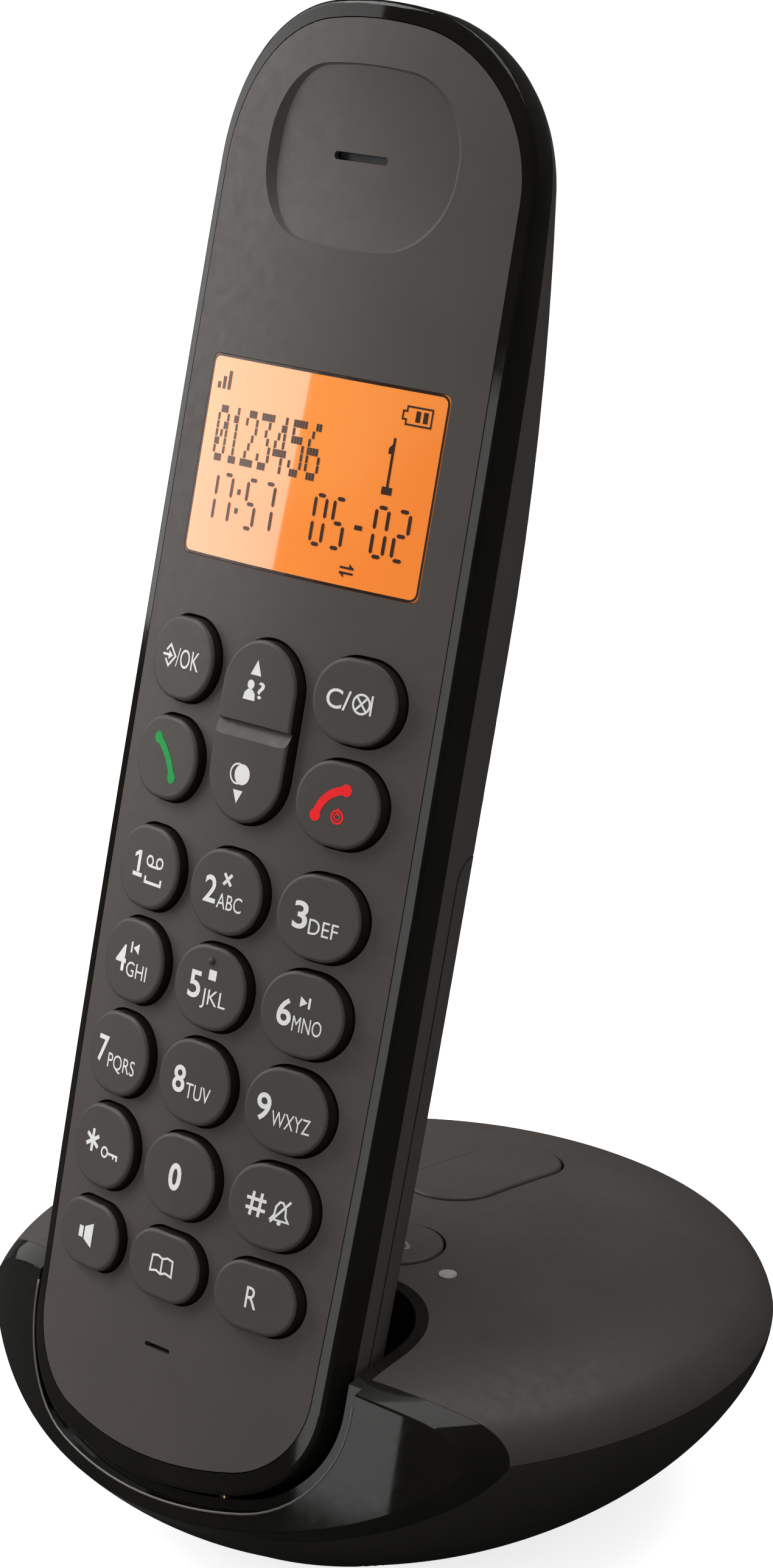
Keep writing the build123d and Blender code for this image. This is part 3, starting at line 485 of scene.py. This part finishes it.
@dataclass(frozen=True)
class HandsetAxes:
    """The handset's own axes: u across, s along, n out of its face."""

    origin: Vector
    along: Vector
    out: Vector
    face_radius: float = 78.0

    @classmethod
    def read(cls, frame: dict) -> "HandsetAxes":
        """Find the axes from the frame's joints and the cover's crown.


        Returns:
            The handset's axes.
        """
        joints = {joint["name"]: joint for joint in frame["joints"]}
        along = Vector(joints["handset_lift"]["axis"]).normalized()
        out = -Vector(joints["key_2_press"]["axis"]).normalized()
        cover = frame["nodes"]["front_cover"].data.vertices
        crown = max(v.co.dot(out) for v in cover)
        cap = [v.co.dot(along) for v in frame["nodes"]["key_2"].data.vertices]
        return cls(out * crown + along * (min(cap) + max(cap)) / 2, along, out)

    def at(self, u: float, s: float, n: float) -> Vector:
        """Point in the scene of a place given in the handset's axes."""
        return self.origin + Vector((u, 0, 0)) * MM + self.along * s * MM + self.out * n * MM

    def on_face(self, u: float, s: float, lift: float, radius: float | None = None) -> Vector:
        """Point on the arched face or on a surface arched with it, a little above it."""
        bow = radius or self.face_radius
        drop = bow - math.sqrt(max(0.0, bow * bow - u * u))
        return self.at(u, s, lift - drop)


def piece_from(mesh: bmesh.types.BMesh, name: str, place: Callable[[float, float], Vector],
               cell: float = 1.5) -> bpy.types.Object:
    """Turn flat artwork into an object laid on a surface.

    Args:
        mesh: Artwork in millimetres; it is freed.
        name: Object name.
        place: Function from a point of the artwork to a point in the scene.
        cell: Longest edge left undivided, so that the artwork can follow the surface.

    Returns:
        The new object.
    """
    bmesh.ops.triangulate(mesh, faces=mesh.faces[:])
    for _ in range(3):
        long_edges = [edge for edge in mesh.edges if edge.calc_length() > cell]
        if not long_edges:
            break
        bmesh.ops.subdivide_edges(mesh, edges=long_edges, cuts=1)
        bmesh.ops.triangulate(mesh, faces=mesh.faces[:])
    for vert in mesh.verts:
        vert.co = place(vert.co.x, vert.co.y)
    data = bpy.data.meshes.new(name)
    mesh.to_mesh(data)
    mesh.free()
    obj = bpy.data.objects.new(name, data)
    bpy.context.scene.collection.objects.link(obj)
    return obj


def tube_along(points: Sequence[Vector], radius_mm: float, name: str, sides: int = 10) -> bpy.types.Object:
    """Sweep a round bead along a path.

    Args:
        points: Path in the scene.
        radius_mm: Radius of the bead.
        name: Object name.
        sides: Facets round the bead.

    Returns:
        The new object.
    """
    mesh = bmesh.new()
    rings: list[list[bmesh.types.BMVert]] = []
    for k, point in enumerate(points):
        run = (points[min(k + 1, len(points) - 1)] - points[max(k - 1, 0)]).normalized()
        side = run.cross(Vector((0, 0.3, 1))).normalized()
        up = side.cross(run)
        rings.append([mesh.verts.new(point + (side * math.cos(a) + up * math.sin(a)) * radius_mm * MM)
                      for a in (2 * math.pi * j / sides for j in range(sides))])
    for here, there in zip(rings, rings[1:]):
        for j in range(sides):
            mesh.faces.new((here[j], here[(j + 1) % sides], there[(j + 1) % sides], there[j]))
    mesh.faces.new(rings[0][::-1])
    mesh.faces.new(rings[-1])
    data = bpy.data.meshes.new(name)
    mesh.to_mesh(data)
    mesh.free()
    for polygon in data.polygons:
        polygon.use_smooth = True
    obj = bpy.data.objects.new(name, data)
    bpy.context.scene.collection.objects.link(obj)
    return obj


@dataclass
class Workshop:
    """Shared tools: the frame, the handset's axes and the finishes."""

    frame: dict
    axes: HandsetAxes
    shelf: FinishShelf

    def dress(self, obj: bpy.types.Object, finish: str, body: str) -> bpy.types.Object:
        """Give a new piece its finish, body and material slot.

        Args:
            obj: The piece.
            finish: Finish name.
            body: Body it moves with.

        Returns:
            The piece.
        """
        obj.data.materials.clear()
        obj.data.materials.append(self.shelf.take(finish))
        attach(obj, body)
        LOG.info("piece %s in %s on %s", obj.name, finish, body)
        return obj


# ------------------------------------------------------------------ keypad
class Legend(Enum):
    """Marks printed on the keys, one for each key."""

    OK = "ok"
    CLEAR = "clear"
    TALK = "talk"
    END = "end"
    ONE = "1"
    TWO = "2"
    THREE = "3"
    FOUR = "4"
    FIVE = "5"
    SIX = "6"
    SEVEN = "7"
    EIGHT = "8"
    NINE = "9"
    STAR = "star"
    ZERO = "0"
    HASH = "hash"
    SPEAKER = "speaker"
    BOOK = "book"
    RECALL = "redial"


LETTERS: dict[Legend, str] = {
    Legend.TWO: "ABC", Legend.THREE: "DEF", Legend.FOUR: "GHI", Legend.FIVE: "JKL",
    Legend.SIX: "MNO", Legend.SEVEN: "PQRS", Legend.EIGHT: "TUV", Legend.NINE: "WXYZ",
}


@dataclass
class KeypadArt:
    """Draws the legend of each key in millimetres about the key's middle."""

    digit_height: float = 2.85
    digit_width: float = 1.85
    letter_height: float = 1.62
    letter_width: float = 1.2

    def handset_icon(self, art: Drawing, tilt: float, length: float, bend: float) -> None:
        """Draw a telephone receiver.

        Args:
            art: Drawing to add to.
            tilt: Turn of the receiver, in degrees.
            length: End to end.
            bend: Bow of the grip.
        """
        turn = math.radians(tilt)
        path = []
        for k in range(13):
            t = k / 12 * 2 - 1
            x, y = t * length / 2, bend * (1 - t * t)
            path.append((x * math.cos(turn) - y * math.sin(turn), x * math.sin(turn) + y * math.cos(turn)))
        art.line(path, 0.88)
        for x, y in (path[0], path[-1]):
            art.disc(x, y, 0.66)

    def draw(self, legend: Legend) -> tuple[Drawing, str]:
        """Draw one key's legend.

        Args:
            legend: Which key.

        Returns:
            The drawing and the name of its ink.
        """
        art = Drawing()
        ink = "legend_white"
        if legend is Legend.TALK:
            ink = "talk_green"
            self.handset_icon(art, -50, 5.0, 0.45)
        elif legend is Legend.END:
            ink = "end_red"
            self.handset_icon(art, 44, 4.6, 0.75)
            art.ring(1.05, -1.3, 0.68, 0.22)
            art.ring(1.05, -1.3, 0.34, 0.14)
            art.line([(1.05, -1.1), (1.05, -0.4)], 0.22)
            art.shift(-0.6, 0.1)
        elif legend is Legend.OK:
            art.words("/OK", 1.15, 0.0, 2.05, 4.0, 0.0)
            art.line([(-2.75, 0.45), (-2.1, 1.15), (-1.0, 0.0), (-2.1, -1.15), (-2.75, -0.45)], 0.26)
            art.line([(-3.3, 0.0), (-1.9, 0.0)], 0.26)
            art.area([(-2.25, 0.5), (-1.5, 0.0), (-2.25, -0.5)])
        elif legend is Legend.CLEAR:
            art.words("C/", -1.75, 0.0, 2.05, 3.0, 0.008)
            art.ring(1.1, -0.05, 1.0, 0.24)
            art.line([(0.45, -0.75), (1.75, 0.7)], 0.24)
            art.line([(0.45, 0.7), (1.75, -0.75)], 0.24)
            art.line([(2.3, -1.05), (2.3, 1.05)], 0.24)
        elif legend is Legend.STAR:
            for k in range(3):
                a = math.pi / 2 + k * math.pi / 3
                art.line([(-1.7 - 1.25 * math.cos(a), 0.25 - 1.25 * math.sin(a)),
                          (-1.7 + 1.25 * math.cos(a), 0.25 + 1.25 * math.sin(a))], 0.44)
            art.ring(0.7, -0.5, 0.52, 0.24)
            art.line([(1.25, -0.5), (2.9, -0.5), (2.9, -1.0)], 0.26)
            art.line([(2.3, -0.5), (2.3, -0.9)], 0.24)
        elif legend is Legend.HASH:
            for shift in (-0.52, 0.52):
                art.line([(-1.45 + shift - 0.1, -1.3), (-1.45 + shift + 0.1, 1.3)], 0.36)
                art.line([(-2.7, shift), (-0.2, shift)], 0.36)
            art.line([(0.55, -1.0), (0.95, -0.5), (1.05, 0.4), (1.45, 0.95), (1.85, 0.95), (2.25, 0.4),
                      (2.35, -0.5), (2.75, -1.0)], 0.24, True)
            art.line([(0.55, -1.35), (2.75, 1.25)], 0.26)
            art.disc(1.65, -1.25, 0.26)
        elif legend is Legend.SPEAKER:
            art.area([(-1.5, -0.62), (-1.5, 0.62), (-0.75, 0.62), (-0.75, -0.62)])
            art.area([(-0.5, -0.7), (-0.5, 0.7), (0.95, 1.35), (0.95, -1.35)])
        elif legend is Legend.BOOK:
            art.line([(0, -0.85), (0, 0.75), (-0.7, 1.0), (-1.5, 0.85), (-1.6, -0.85), (-0.7, -0.65),
                      (0, -0.9), (0.7, -0.65), (1.6, -0.85), (1.5, 0.85), (0.7, 1.0), (0, 0.75)], 0.24)
        elif legend is Legend.RECALL:
            art.words("R", -0.1, 0.0, 2.3, 1.45, 0.0)
        elif legend is Legend.ZERO:
            art.words("0", -0.2, 0.0, self.digit_height, self.digit_width, 0.03)
        else:
            letters = LETTERS.get(legend, "")
            wide = self.letter_width * len(letters)
            left = -(self.digit_width + 0.25 + wide) / 2
            if legend is Legend.ONE:
                self.one(art, left + self.digit_width / 2)
            else:
                art.words(legend.value, left + self.digit_width / 2, 0.0,
                          self.digit_height, self.digit_width, 0.016)
            if letters:
                art.words(letters, left + self.digit_width + 0.25 + wide / 2,
                          (self.letter_height - self.digit_height) / 2 - 0.35, self.letter_height, wide, 0.0)
            self.extra_mark(art, legend)
        return art, ink

    def one(self, art: Drawing, x: float) -> None:
        """Draw a one with its flag and foot, its middle at x."""
        half, stroke = self.digit_height / 2, 0.5
        art.area([(x - 0.1, half), (x + stroke - 0.1, half), (x + stroke - 0.1, stroke - half),
                  (x - 0.1, stroke - half)])
        art.area([(x - 0.75, half - 0.42), (x - 0.1, half), (x - 0.1, half - 0.5), (x - 0.75, half - 0.85)])
        art.area([(x - 0.75, -half), (x + 0.95, -half), (x + 0.95, stroke - half - 0.06),
                  (x - 0.75, stroke - half - 0.06)])

    def extra_mark(self, art: Drawing, legend: Legend) -> None:
        """Add the small second mark that some digit keys carry."""
        if legend is Legend.ONE:
            art.shift(-1.5, 0.1)
            for x in (0.4, 2.1):
                art.ring(x, 0.75, 0.52, 0.24)
            art.line([(0.4, 0.2), (2.1, 0.2)], 0.24)
            art.line([(0.0, -0.95), (0.0, -1.6), (2.7, -1.6), (2.7, -0.95)], 0.32)
        elif legend is Legend.TWO:
            art.line([(-0.2, 0.8), (0.9, 2.0)], 0.36)
            art.line([(-0.2, 2.0), (0.9, 0.8)], 0.36)
        elif legend is Legend.FOUR:
            art.line([(-0.3, 0.8), (-0.3, 2.0)], 0.3)
            art.area([(1.0, 0.8), (0.0, 1.4), (1.0, 2.0)])
        elif legend is Legend.FIVE:
            art.area([(-0.1, 0.85), (1.0, 0.85), (1.0, 1.95), (-0.1, 1.95)])
        elif legend is Legend.SIX:
            art.area([(-0.2, 0.85), (-0.2, 2.0), (0.7, 1.42)])
            art.line([(0.95, 0.85), (0.95, 2.0)], 0.28)


@dataclass
class Keypad:
    """The key caps' finishes and their printed legends."""

    shop: Workshop
    art: KeypadArt = field(default_factory=KeypadArt)
    cap_proud: float = 1.35
    print_lift: float = 0.03

    def centre(self, node: str) -> Point2:
        """Middle of a key cap across and along the handset."""
        axes = self.shop.axes
        verts = [v.co - axes.origin for v in self.shop.frame["nodes"][node].data.vertices]
        across = [v.x / MM for v in verts]
        along = [v.dot(axes.along) / MM for v in verts]
        return (min(across) + max(across)) / 2, (min(along) + max(along)) / 2

    def lay(self, art: Drawing, node: str, ink: str, name: str) -> None:
        """Lay a drawing on a cap's arched top.

        Args:
            art: Drawing about the cap's middle.
            node: The cap's node and body.
            ink: Finish of the print.
            name: Name of the new piece.
        """
        u0, s0 = self.centre(node)
        axes = self.shop.axes
        lift = self.cap_proud + self.print_lift
        radius = axes.face_radius + self.cap_proud
        piece = piece_from(art.mesh, name, lambda x, y: axes.on_face(u0 + x, s0 + y, lift, radius))
        self.shop.dress(piece, ink, node)

    def colour_caps(self) -> None:
        """Paint every cap: grey crown over sides painted near black, which is painted shade of the cap walls
        and gaps.
        """
        top, side = self.shop.shelf.take("key_grey"), self.shop.shelf.take("key_wall_painted_shade")
        out = self.shop.axes.out
        for name, obj in self.shop.frame["nodes"].items():
            if not name.startswith("key_"):
                continue
            obj.data.materials.clear()
            obj.data.materials.append(top)
            obj.data.materials.append(side)
            for polygon in obj.data.polygons:
                # faces turned away from the face take the near-black copy, painted shade on the cap walls
                polygon.material_index = 0 if polygon.normal.dot(out) > 0.35 else 1

    def build(self) -> None:
        """Dress the whole keypad."""
        self.colour_caps()
        for legend in Legend:
            art, ink = self.art.draw(legend)
            self.lay(art, f"key_{legend.value}", ink, f"legend_{legend.value}")
        rocker = Drawing()
        rocker.area([(-1.25, 5.9), (0.3, 5.9), (-0.45, 7.55)])
        rocker.disc(-0.95, 4.85, 0.5)
        rocker.area([(-1.85, 3.2), (-0.1, 3.2), (-0.2, 3.95), (-0.65, 4.35), (-1.25, 4.35), (-1.7, 3.95)])
        rocker.words("?", 0.6, 4.45, 1.75, 0.95, 0.012)
        rocker.disc(-0.1, -4.65, 1.1)
        rocker.ring(-0.75, -4.65, 1.05, 0.2)
        rocker.area([(-1.05, -6.35), (-0.35, -7.75), (0.35, -6.35)])
        self.lay(rocker, "key_rocker", "legend_white", "legend_rocker")
        LOG.info("keypad dressed: %d caps and a rocker", len(Legend))


# ------------------------------------------------------------------ display
@dataclass
class Display:
    """The amber display: its dark frame and the marks it shows."""

    shop: Workshop
    width: float = 34.0
    height: float = 21.5
    corner: float = 0.9
    frame_line: float = 0.26
    digit: float = 5.1
    digit_w: float = 1.5
    pitch: float = 2.6
    row_s: float = -4.3
    bar_w: float = 0.42
    bar_gap: float = 0.2
    dot_w: float = 0.41
    dot_h: float = 0.86
    mark_lift: float = 0.008

    def rounded(self, inset: float) -> list[Point2]:
        """Corners of the window's outline, drawn in by an inset."""
        w, h, r = self.width / 2 - inset, self.height / 2 - inset, self.corner
        points: list[Point2] = []
        for cx, cy, start in ((w - r, h - r, 0), (r - w, h - r, 90), (r - w, r - h, 180), (w - r, r - h, 270)):
            for k in range(7):
                a = math.radians(start + 15 * k)
                points.append((cx + r * math.cos(a), cy + r * math.sin(a)))
        return points

    def seven(self, art: Drawing, glyph: str, x: float, y: float, height: float, width: float) -> None:
        """Draw one seven-segment digit with pointed bars.

        Args:
            art: Drawing to add to.
            glyph: The digit.
            x: Middle across.
            y: Middle along.
            height: Digit height.
            width: Digit width.
        """
        lit = {"0": "abcdef", "1": "bc", "2": "abged", "5": "afgcd", "7": "abc"}[glyph]
        w, h, t = width / 2, height / 2, self.bar_w
        ends = {"a": ((-w, h), (w, h)), "g": ((-w, 0), (w, 0)), "d": ((-w, -h), (w, -h)),
                "f": ((-w, 0), (-w, h)), "b": ((w, 0), (w, h)),
                "e": ((-w, -h), (-w, 0)), "c": ((w, -h), (w, 0))}
        for bar in lit:
            (x0, y0), (x1, y1) = ends[bar]
            run = Vector((x1 - x0, y1 - y0))
            unit, length = run.normalized(), run.length
            side = Vector((-unit.y, unit.x)) * t / 2
            start = Vector((x + x0, y + y0)) + unit * self.bar_gap
            stop = start + unit * (length - 2 * self.bar_gap)
            a, b = start + unit * t / 2, stop - unit * t / 2
            art.area([tuple(p) for p in (start, a - side, b - side, stop, b + side, a + side)])

    def dot_row(self, art: Drawing, digits: str, x: float, y: float) -> None:
        """Draw a row of digits in the five by seven dot font of such displays.

        Args:
            art: Drawing to add to.
            digits: The digits.
            x: Left end.
            y: Top of the row.
        """
        font = {"0": (14, 17, 19, 21, 25, 17, 14), "1": (4, 12, 4, 4, 4, 4, 14), "2": (14, 17, 1, 2, 4, 8, 31),
                "3": (31, 2, 4, 2, 1, 17, 14), "4": (2, 6, 10, 18, 31, 2, 2), "5": (31, 16, 30, 1, 1, 17, 14),
                "6": (6, 8, 16, 30, 17, 17, 14)}
        for k, digit in enumerate(digits):
            for row, bits in enumerate(font[digit]):
                for col in range(5):
                    if bits & (16 >> col):
                        left = x + (k * 6 + col) * self.dot_w
                        low = y - (row + 1) * self.dot_h
                        art.area([(left, low), (left + self.dot_w * 0.88, low),
                                  (left + self.dot_w * 0.88, low + self.dot_h * 0.92),
                                  (left, low + self.dot_h * 0.92)])

    def build(self) -> None:
        """Draw the frame line and the lit segments."""
        axes = self.shop.axes
        verts = [v.co - axes.origin for v in self.shop.frame["nodes"]["display_lens"].data.vertices]
        along = [v.dot(axes.along) / MM for v in verts]
        s0 = (min(along) + max(along)) / 2

        def place(x: float, y: float) -> Vector:
            """Put a point of the artwork on the window."""
            return axes.on_face(x, s0 + y, 0.0)

        border = Drawing().line(self.rounded(self.frame_line / 2), self.frame_line, True)
        self.shop.dress(piece_from(border.mesh, "display_frame_line", place), "frame_black", "handset")
        marks = Drawing()
        for k in range(3):
            x = -15.6 + k * 0.9
            marks.area([(x, 7.1), (x + 0.5, 7.1), (x + 0.5, 7.8 + k * 0.65), (x, 7.8 + k * 0.65)])
        marks.line([(12.2, 7.1), (15.2, 7.1), (15.2, 8.95), (12.2, 8.95), (12.2, 8.45), (11.75, 8.45),
                    (11.75, 7.6), (12.2, 7.6)], 0.2, True)
        for x in (13.3, 14.2):
            marks.area([(x, 7.45), (x + 0.55, 7.45), (x + 0.55, 8.6), (x, 8.6)])
        self.dot_row(marks, "0123456", -14.6, 5.5)
        marks.line([(11.3, 5.5), (11.3, 0.3)], 0.32)
        marks.area([(10.75, 3.8), (11.2, 3.8), (11.2, 4.9), (10.75, 4.4)])
        marks.area([(10.65, -0.4), (11.95, -0.4), (11.95, 0.4), (10.65, 0.4)])
        for x, glyph in ((-13.6, "1"), (-11.0, "7"), (-6.9, "5"), (-4.2, "7"),
                         (3.3, "0"), (5.9, "5"), (11.3, "0"), (13.9, "2")):
            self.seven(marks, glyph, x, self.row_s, self.digit, self.digit_w)
        for y in (self.row_s + 1.0, self.row_s - 1.0):
            marks.area([(-9.25, y - 0.3), (-8.75, y - 0.3), (-8.75, y + 0.3), (-9.25, y + 0.3)])
        marks.area([(8.1, self.row_s - 0.25), (9.1, self.row_s - 0.25), (9.1, self.row_s + 0.25),
                    (8.1, self.row_s + 0.25)])
        for y, way in ((-8.6, 1), (-9.15, -1)):
            marks.line([(7.1, y), (8.9, y)], 0.24)
            marks.area([(8.0 + way * 0.9, y), (8.0 + way * 0.3, y), (8.0 + way * 0.3, y + way * 0.5)])
        raised = axes.out * self.mark_lift * MM
        self.shop.dress(piece_from(marks.mesh, "display_marks", lambda x, y: place(x, y) + raised),
                        "segment_dark", "handset")
        LOG.info("display drawn")


# ------------------------------------------------------------------ base
@dataclass
class CradleTrim:
    """Bead round the cradle's mouth, coloured pale grey as a painted highlight on the rim's edge, and the mark
    on the paging key.
    """

    shop: Workshop
    half_width: float = 24.0
    bottom: float = -66.0
    corner: float = 14.0
    arc: float = 52.0
    upper: float = -49.5
    face_radius: float = 76.0
    face_back: float = 1.2
    bead: float = 0.14
    dome_radius: float = 250.0
    mark_lift: float = 0.07

    def mouth(self) -> list[Vector]:
        """Path of the bead, from the left tip round the bottom to the right tip."""
        axes = self.shop.axes
        half: list[Point2] = [(self.half_width, self.upper)]
        centre_u = self.half_width - self.corner
        centre_s = self.bottom + self.arc - math.sqrt((self.arc - self.corner) ** 2 - centre_u ** 2)
        for k in range(13):
            a = math.radians(-k * 6.2)
            half.append((centre_u + self.corner * math.cos(a), centre_s + self.corner * math.sin(a)))
        last_u = half[-1][0]
        for k in range(1, 9):
            u = last_u * (1 - k / 8)
            half.append((u, self.bottom + self.arc - math.sqrt(self.arc ** 2 - u * u)))
        path = [(-u, s) for u, s in half] + [(u, s) for u, s in reversed(half[:-1])]
        return [axes.on_face(u, s, -self.face_back + 0.02, self.face_radius) for u, s in path]

    def build(self) -> None:
        """Add the bead, pale grey as a painted rim highlight, and the paging mark."""
        # the bead is rounded rim geometry; its pale grey colour is a painted highlight
        self.shop.dress(tube_along(self.mouth(), self.bead, "cradle_bead_highlight"), "bead_painted_highlight", "base")
        low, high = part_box("page_key")
        cx, cy, top = (low[0] + high[0]) / 2, (low[1] + high[1]) / 2, high[2]
        mark = Drawing()
        mark.line([(-1.4, -0.2), (-0.4, 0.35), (0.9, 0.35), (1.9, -0.2)], 0.4)
        mark.line([(-1.4, -0.2), (-1.5, -0.9)], 0.5)
        mark.line([(1.9, -0.2), (2.0, -0.9)], 0.5)

        def place(x: float, y: float) -> Vector:
            """Put a point of the mark on the key's gently domed top."""
            px, py = cx / MM + x, cy / MM + y
            fall = (px * px + py * py) / (2 * self.dome_radius)
            return Vector((px, py, top / MM + self.mark_lift - fall)) * MM

        self.shop.dress(piece_from(mark.mesh, "page_mark", place), "icon_pale", "page_key")
        LOG.info("cradle trim built")


# ------------------------------------------------------------------ frame nodes
@dataclass
class Casework:
    """Finishes of the carried-over solids."""

    shop: Workshop

    def build(self) -> None:
        """Assign each node its finish."""
        for name, obj in self.shop.frame["nodes"].items():
            if name in NODE_FINISH:
                obj.data.materials.clear()
                obj.data.materials.append(self.shop.shelf.take(NODE_FINISH[name]))
                LOG.info("node %s in %s", name, NODE_FINISH[name])


# ------------------------------------------------------------------ studio
@dataclass
class Studio:
    """Pale floor, soft light and the camera."""

    camera_at: tuple[float, float, float] = (293.89, -313.72, 218.65)
    azimuth_rad: float = 0.750
    elevation_rad: float = 0.307
    roll_rad: float = -0.0085
    focal_length: float = 95.2379
    sensor_height: float = 36.0
    world_light: float = 0.38
    world_glossy: float = 0.05
    floor_size: float = 3000.0
    floor_drop: float = 0.1
    floor_shown: float = 0.9
    floor_lift: float = 0.78
    floor_gloss: float = 0.02
    floor_bounce: float = 0.22
    floor_mirror: float = 0.05

    def camera(self) -> None:
        """Place the camera and aim it."""
        a, e = self.azimuth_rad, self.elevation_rad
        right = Vector((math.cos(a), math.sin(a), 0))
        up = Vector((-math.sin(a) * math.sin(e), math.cos(a) * math.sin(e), math.cos(e)))
        back = right.cross(up)
        c, s = math.cos(self.roll_rad), math.sin(self.roll_rad)
        turned_right, turned_up = right * c + up * s, up * c - right * s
        data = bpy.data.cameras.new("camera")
        data.sensor_fit = "VERTICAL"
        data.sensor_height = self.sensor_height
        data.lens = self.focal_length
        data.clip_start, data.clip_end = 0.01, 20.0
        obj = bpy.data.objects.new("camera", data)
        obj.matrix_world = Matrix.Translation(Vector(self.camera_at) * MM) @ Matrix(
            (turned_right, turned_up, back)).transposed().to_4x4()
        bpy.context.scene.collection.objects.link(obj)
        bpy.context.scene.camera = obj

    def card(self, name: str, at: Sequence[float], aim: Sequence[float], size: Point2, watts: float) -> None:
        """Add a rectangular softbox.

        Args:
            name: Object name.
            at: Its middle.
            aim: Point it faces.
            size: Width and height.
            watts: Power.
        """
        light = bpy.data.lights.new(name, "AREA")
        light.shape = "RECTANGLE"
        light.size, light.size_y = size[0] * MM, size[1] * MM
        light.energy = watts
        obj = bpy.data.objects.new(name, light)
        obj.location = Vector(at) * MM
        facing = (Vector(aim) - Vector(at)).normalized()
        obj.rotation_euler = facing.to_track_quat("-Z", "Y").to_euler()
        bpy.context.scene.collection.objects.link(obj)

    def floor(self) -> None:
        """Lay the pale floor."""
        mesh = bmesh.new()
        bmesh.ops.create_grid(mesh, x_segments=8, y_segments=8, size=self.floor_size * MM)
        data = bpy.data.meshes.new("floor")
        mesh.to_mesh(data)
        mesh.free()
        obj = bpy.data.objects.new("floor", data)
        obj.location.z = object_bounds()[0][2] - self.floor_drop * MM
        material, book, shader = fresh_material("floor_pale")
        shader.inputs["Roughness"].default_value = 0.9
        shader.inputs["Specular IOR Level"].default_value = 0.1
        path = book.add("ShaderNodeLightPath")
        shown = book.add("ShaderNodeMapRange")
        shown.inputs["To Min"].default_value = self.floor_bounce
        shown.inputs["To Max"].default_value = self.floor_shown
        book.link(path.outputs["Is Camera Ray"], shown.inputs["Value"])
        dimmed = book.add("ShaderNodeMath", operation="MULTIPLY_ADD", use_clamp=True)
        dimmed.inputs[1].default_value = self.floor_mirror - self.floor_bounce
        book.link(path.outputs["Is Glossy Ray"], dimmed.inputs[0])
        book.link(shown.outputs["Result"], dimmed.inputs[2])
        tint = book.add("ShaderNodeCombineColor")
        for channel in ("Red", "Green", "Blue"):
            book.link(dimmed.outputs[0], tint.inputs[channel])
        book.link(tint.outputs["Color"], shader.inputs["Base Color"])
        seen = book.add("ShaderNodeMath", operation="MAXIMUM")
        book.link(path.outputs["Is Camera Ray"], seen.inputs[0])
        book.link(path.outputs["Is Transmission Ray"], seen.inputs[1])
        glossy = book.add("ShaderNodeMath", operation="MULTIPLY_ADD")
        glossy.inputs[1].default_value = self.floor_gloss
        book.link(path.outputs["Is Glossy Ray"], glossy.inputs[0])
        book.link(seen.outputs[0], glossy.inputs[2])
        strength = book.add("ShaderNodeMath", operation="MULTIPLY")
        strength.inputs[1].default_value = self.floor_lift
        book.link(glossy.outputs[0], strength.inputs[0])
        shader.inputs["Emission Color"].default_value = (1, 1, 1, 1)
        book.link(strength.outputs[0], shader.inputs["Emission Strength"])
        data.materials.append(material)
        bpy.context.scene.collection.objects.link(obj)
        obj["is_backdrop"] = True

    def world(self) -> None:
        """Give the world a white backdrop that lights softly."""
        world = bpy.data.worlds.new("studio")
        world.use_nodes = True
        bpy.context.scene.world = world
        tree = world.node_tree
        back = tree.nodes["Background"]
        back.inputs["Color"].default_value = (1, 1, 1, 1)
        path = tree.nodes.new("ShaderNodeLightPath")
        lift = tree.nodes.new("ShaderNodeMapRange")
        lift.inputs["To Min"].default_value = self.world_light
        lift.inputs["To Max"].default_value = 1.0
        tree.links.new(path.outputs["Is Camera Ray"], lift.inputs["Value"])
        shade = tree.nodes.new("ShaderNodeMath")
        shade.operation = "MULTIPLY_ADD"
        shade.inputs[1].default_value = self.world_glossy - self.world_light
        tree.links.new(path.outputs["Is Glossy Ray"], shade.inputs[0])
        tree.links.new(lift.outputs["Result"], shade.inputs[2])
        tree.links.new(shade.outputs[0], back.inputs["Strength"])

    def build(self) -> None:
        """Build floor, world, lights and camera."""
        self.floor()
        self.world()
        self.card("left_softbox", (-463, -207, 285), (0, -10, 120), (416, 420), 1.3)
        self.card("crown_card", (-440, -240, 600), (0, 10, 200), (330, 260), 1.7)
        self.card("rim_card", (-500, 230, 150), (-20, -10, 130), (420, 200), 0.14)
        self.card("front_card", (0, -570, 120), (0, 0, 90), (170, 300), 0.5)
        self.card("top_softbox", (120, 160, 620), (0, 0, 40), (420, 420), 1.6)
        self.camera()
        bpy.context.scene.view_settings.view_transform = "Standard"
        LOG.info("studio built")


def main() -> None:
    """Load the frame, dress the phone and build the studio."""
    logging.basicConfig(level=logging.INFO, format="%(name)s: %(message)s")
    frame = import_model()
    shop = Workshop(frame, HandsetAxes.read(frame), FinishShelf())
    Casework(shop).build()
    Keypad(shop).build()
    Display(shop).build()
    CradleTrim(shop).build()
    Studio().build()


if __name__ == "__main__":
    main()
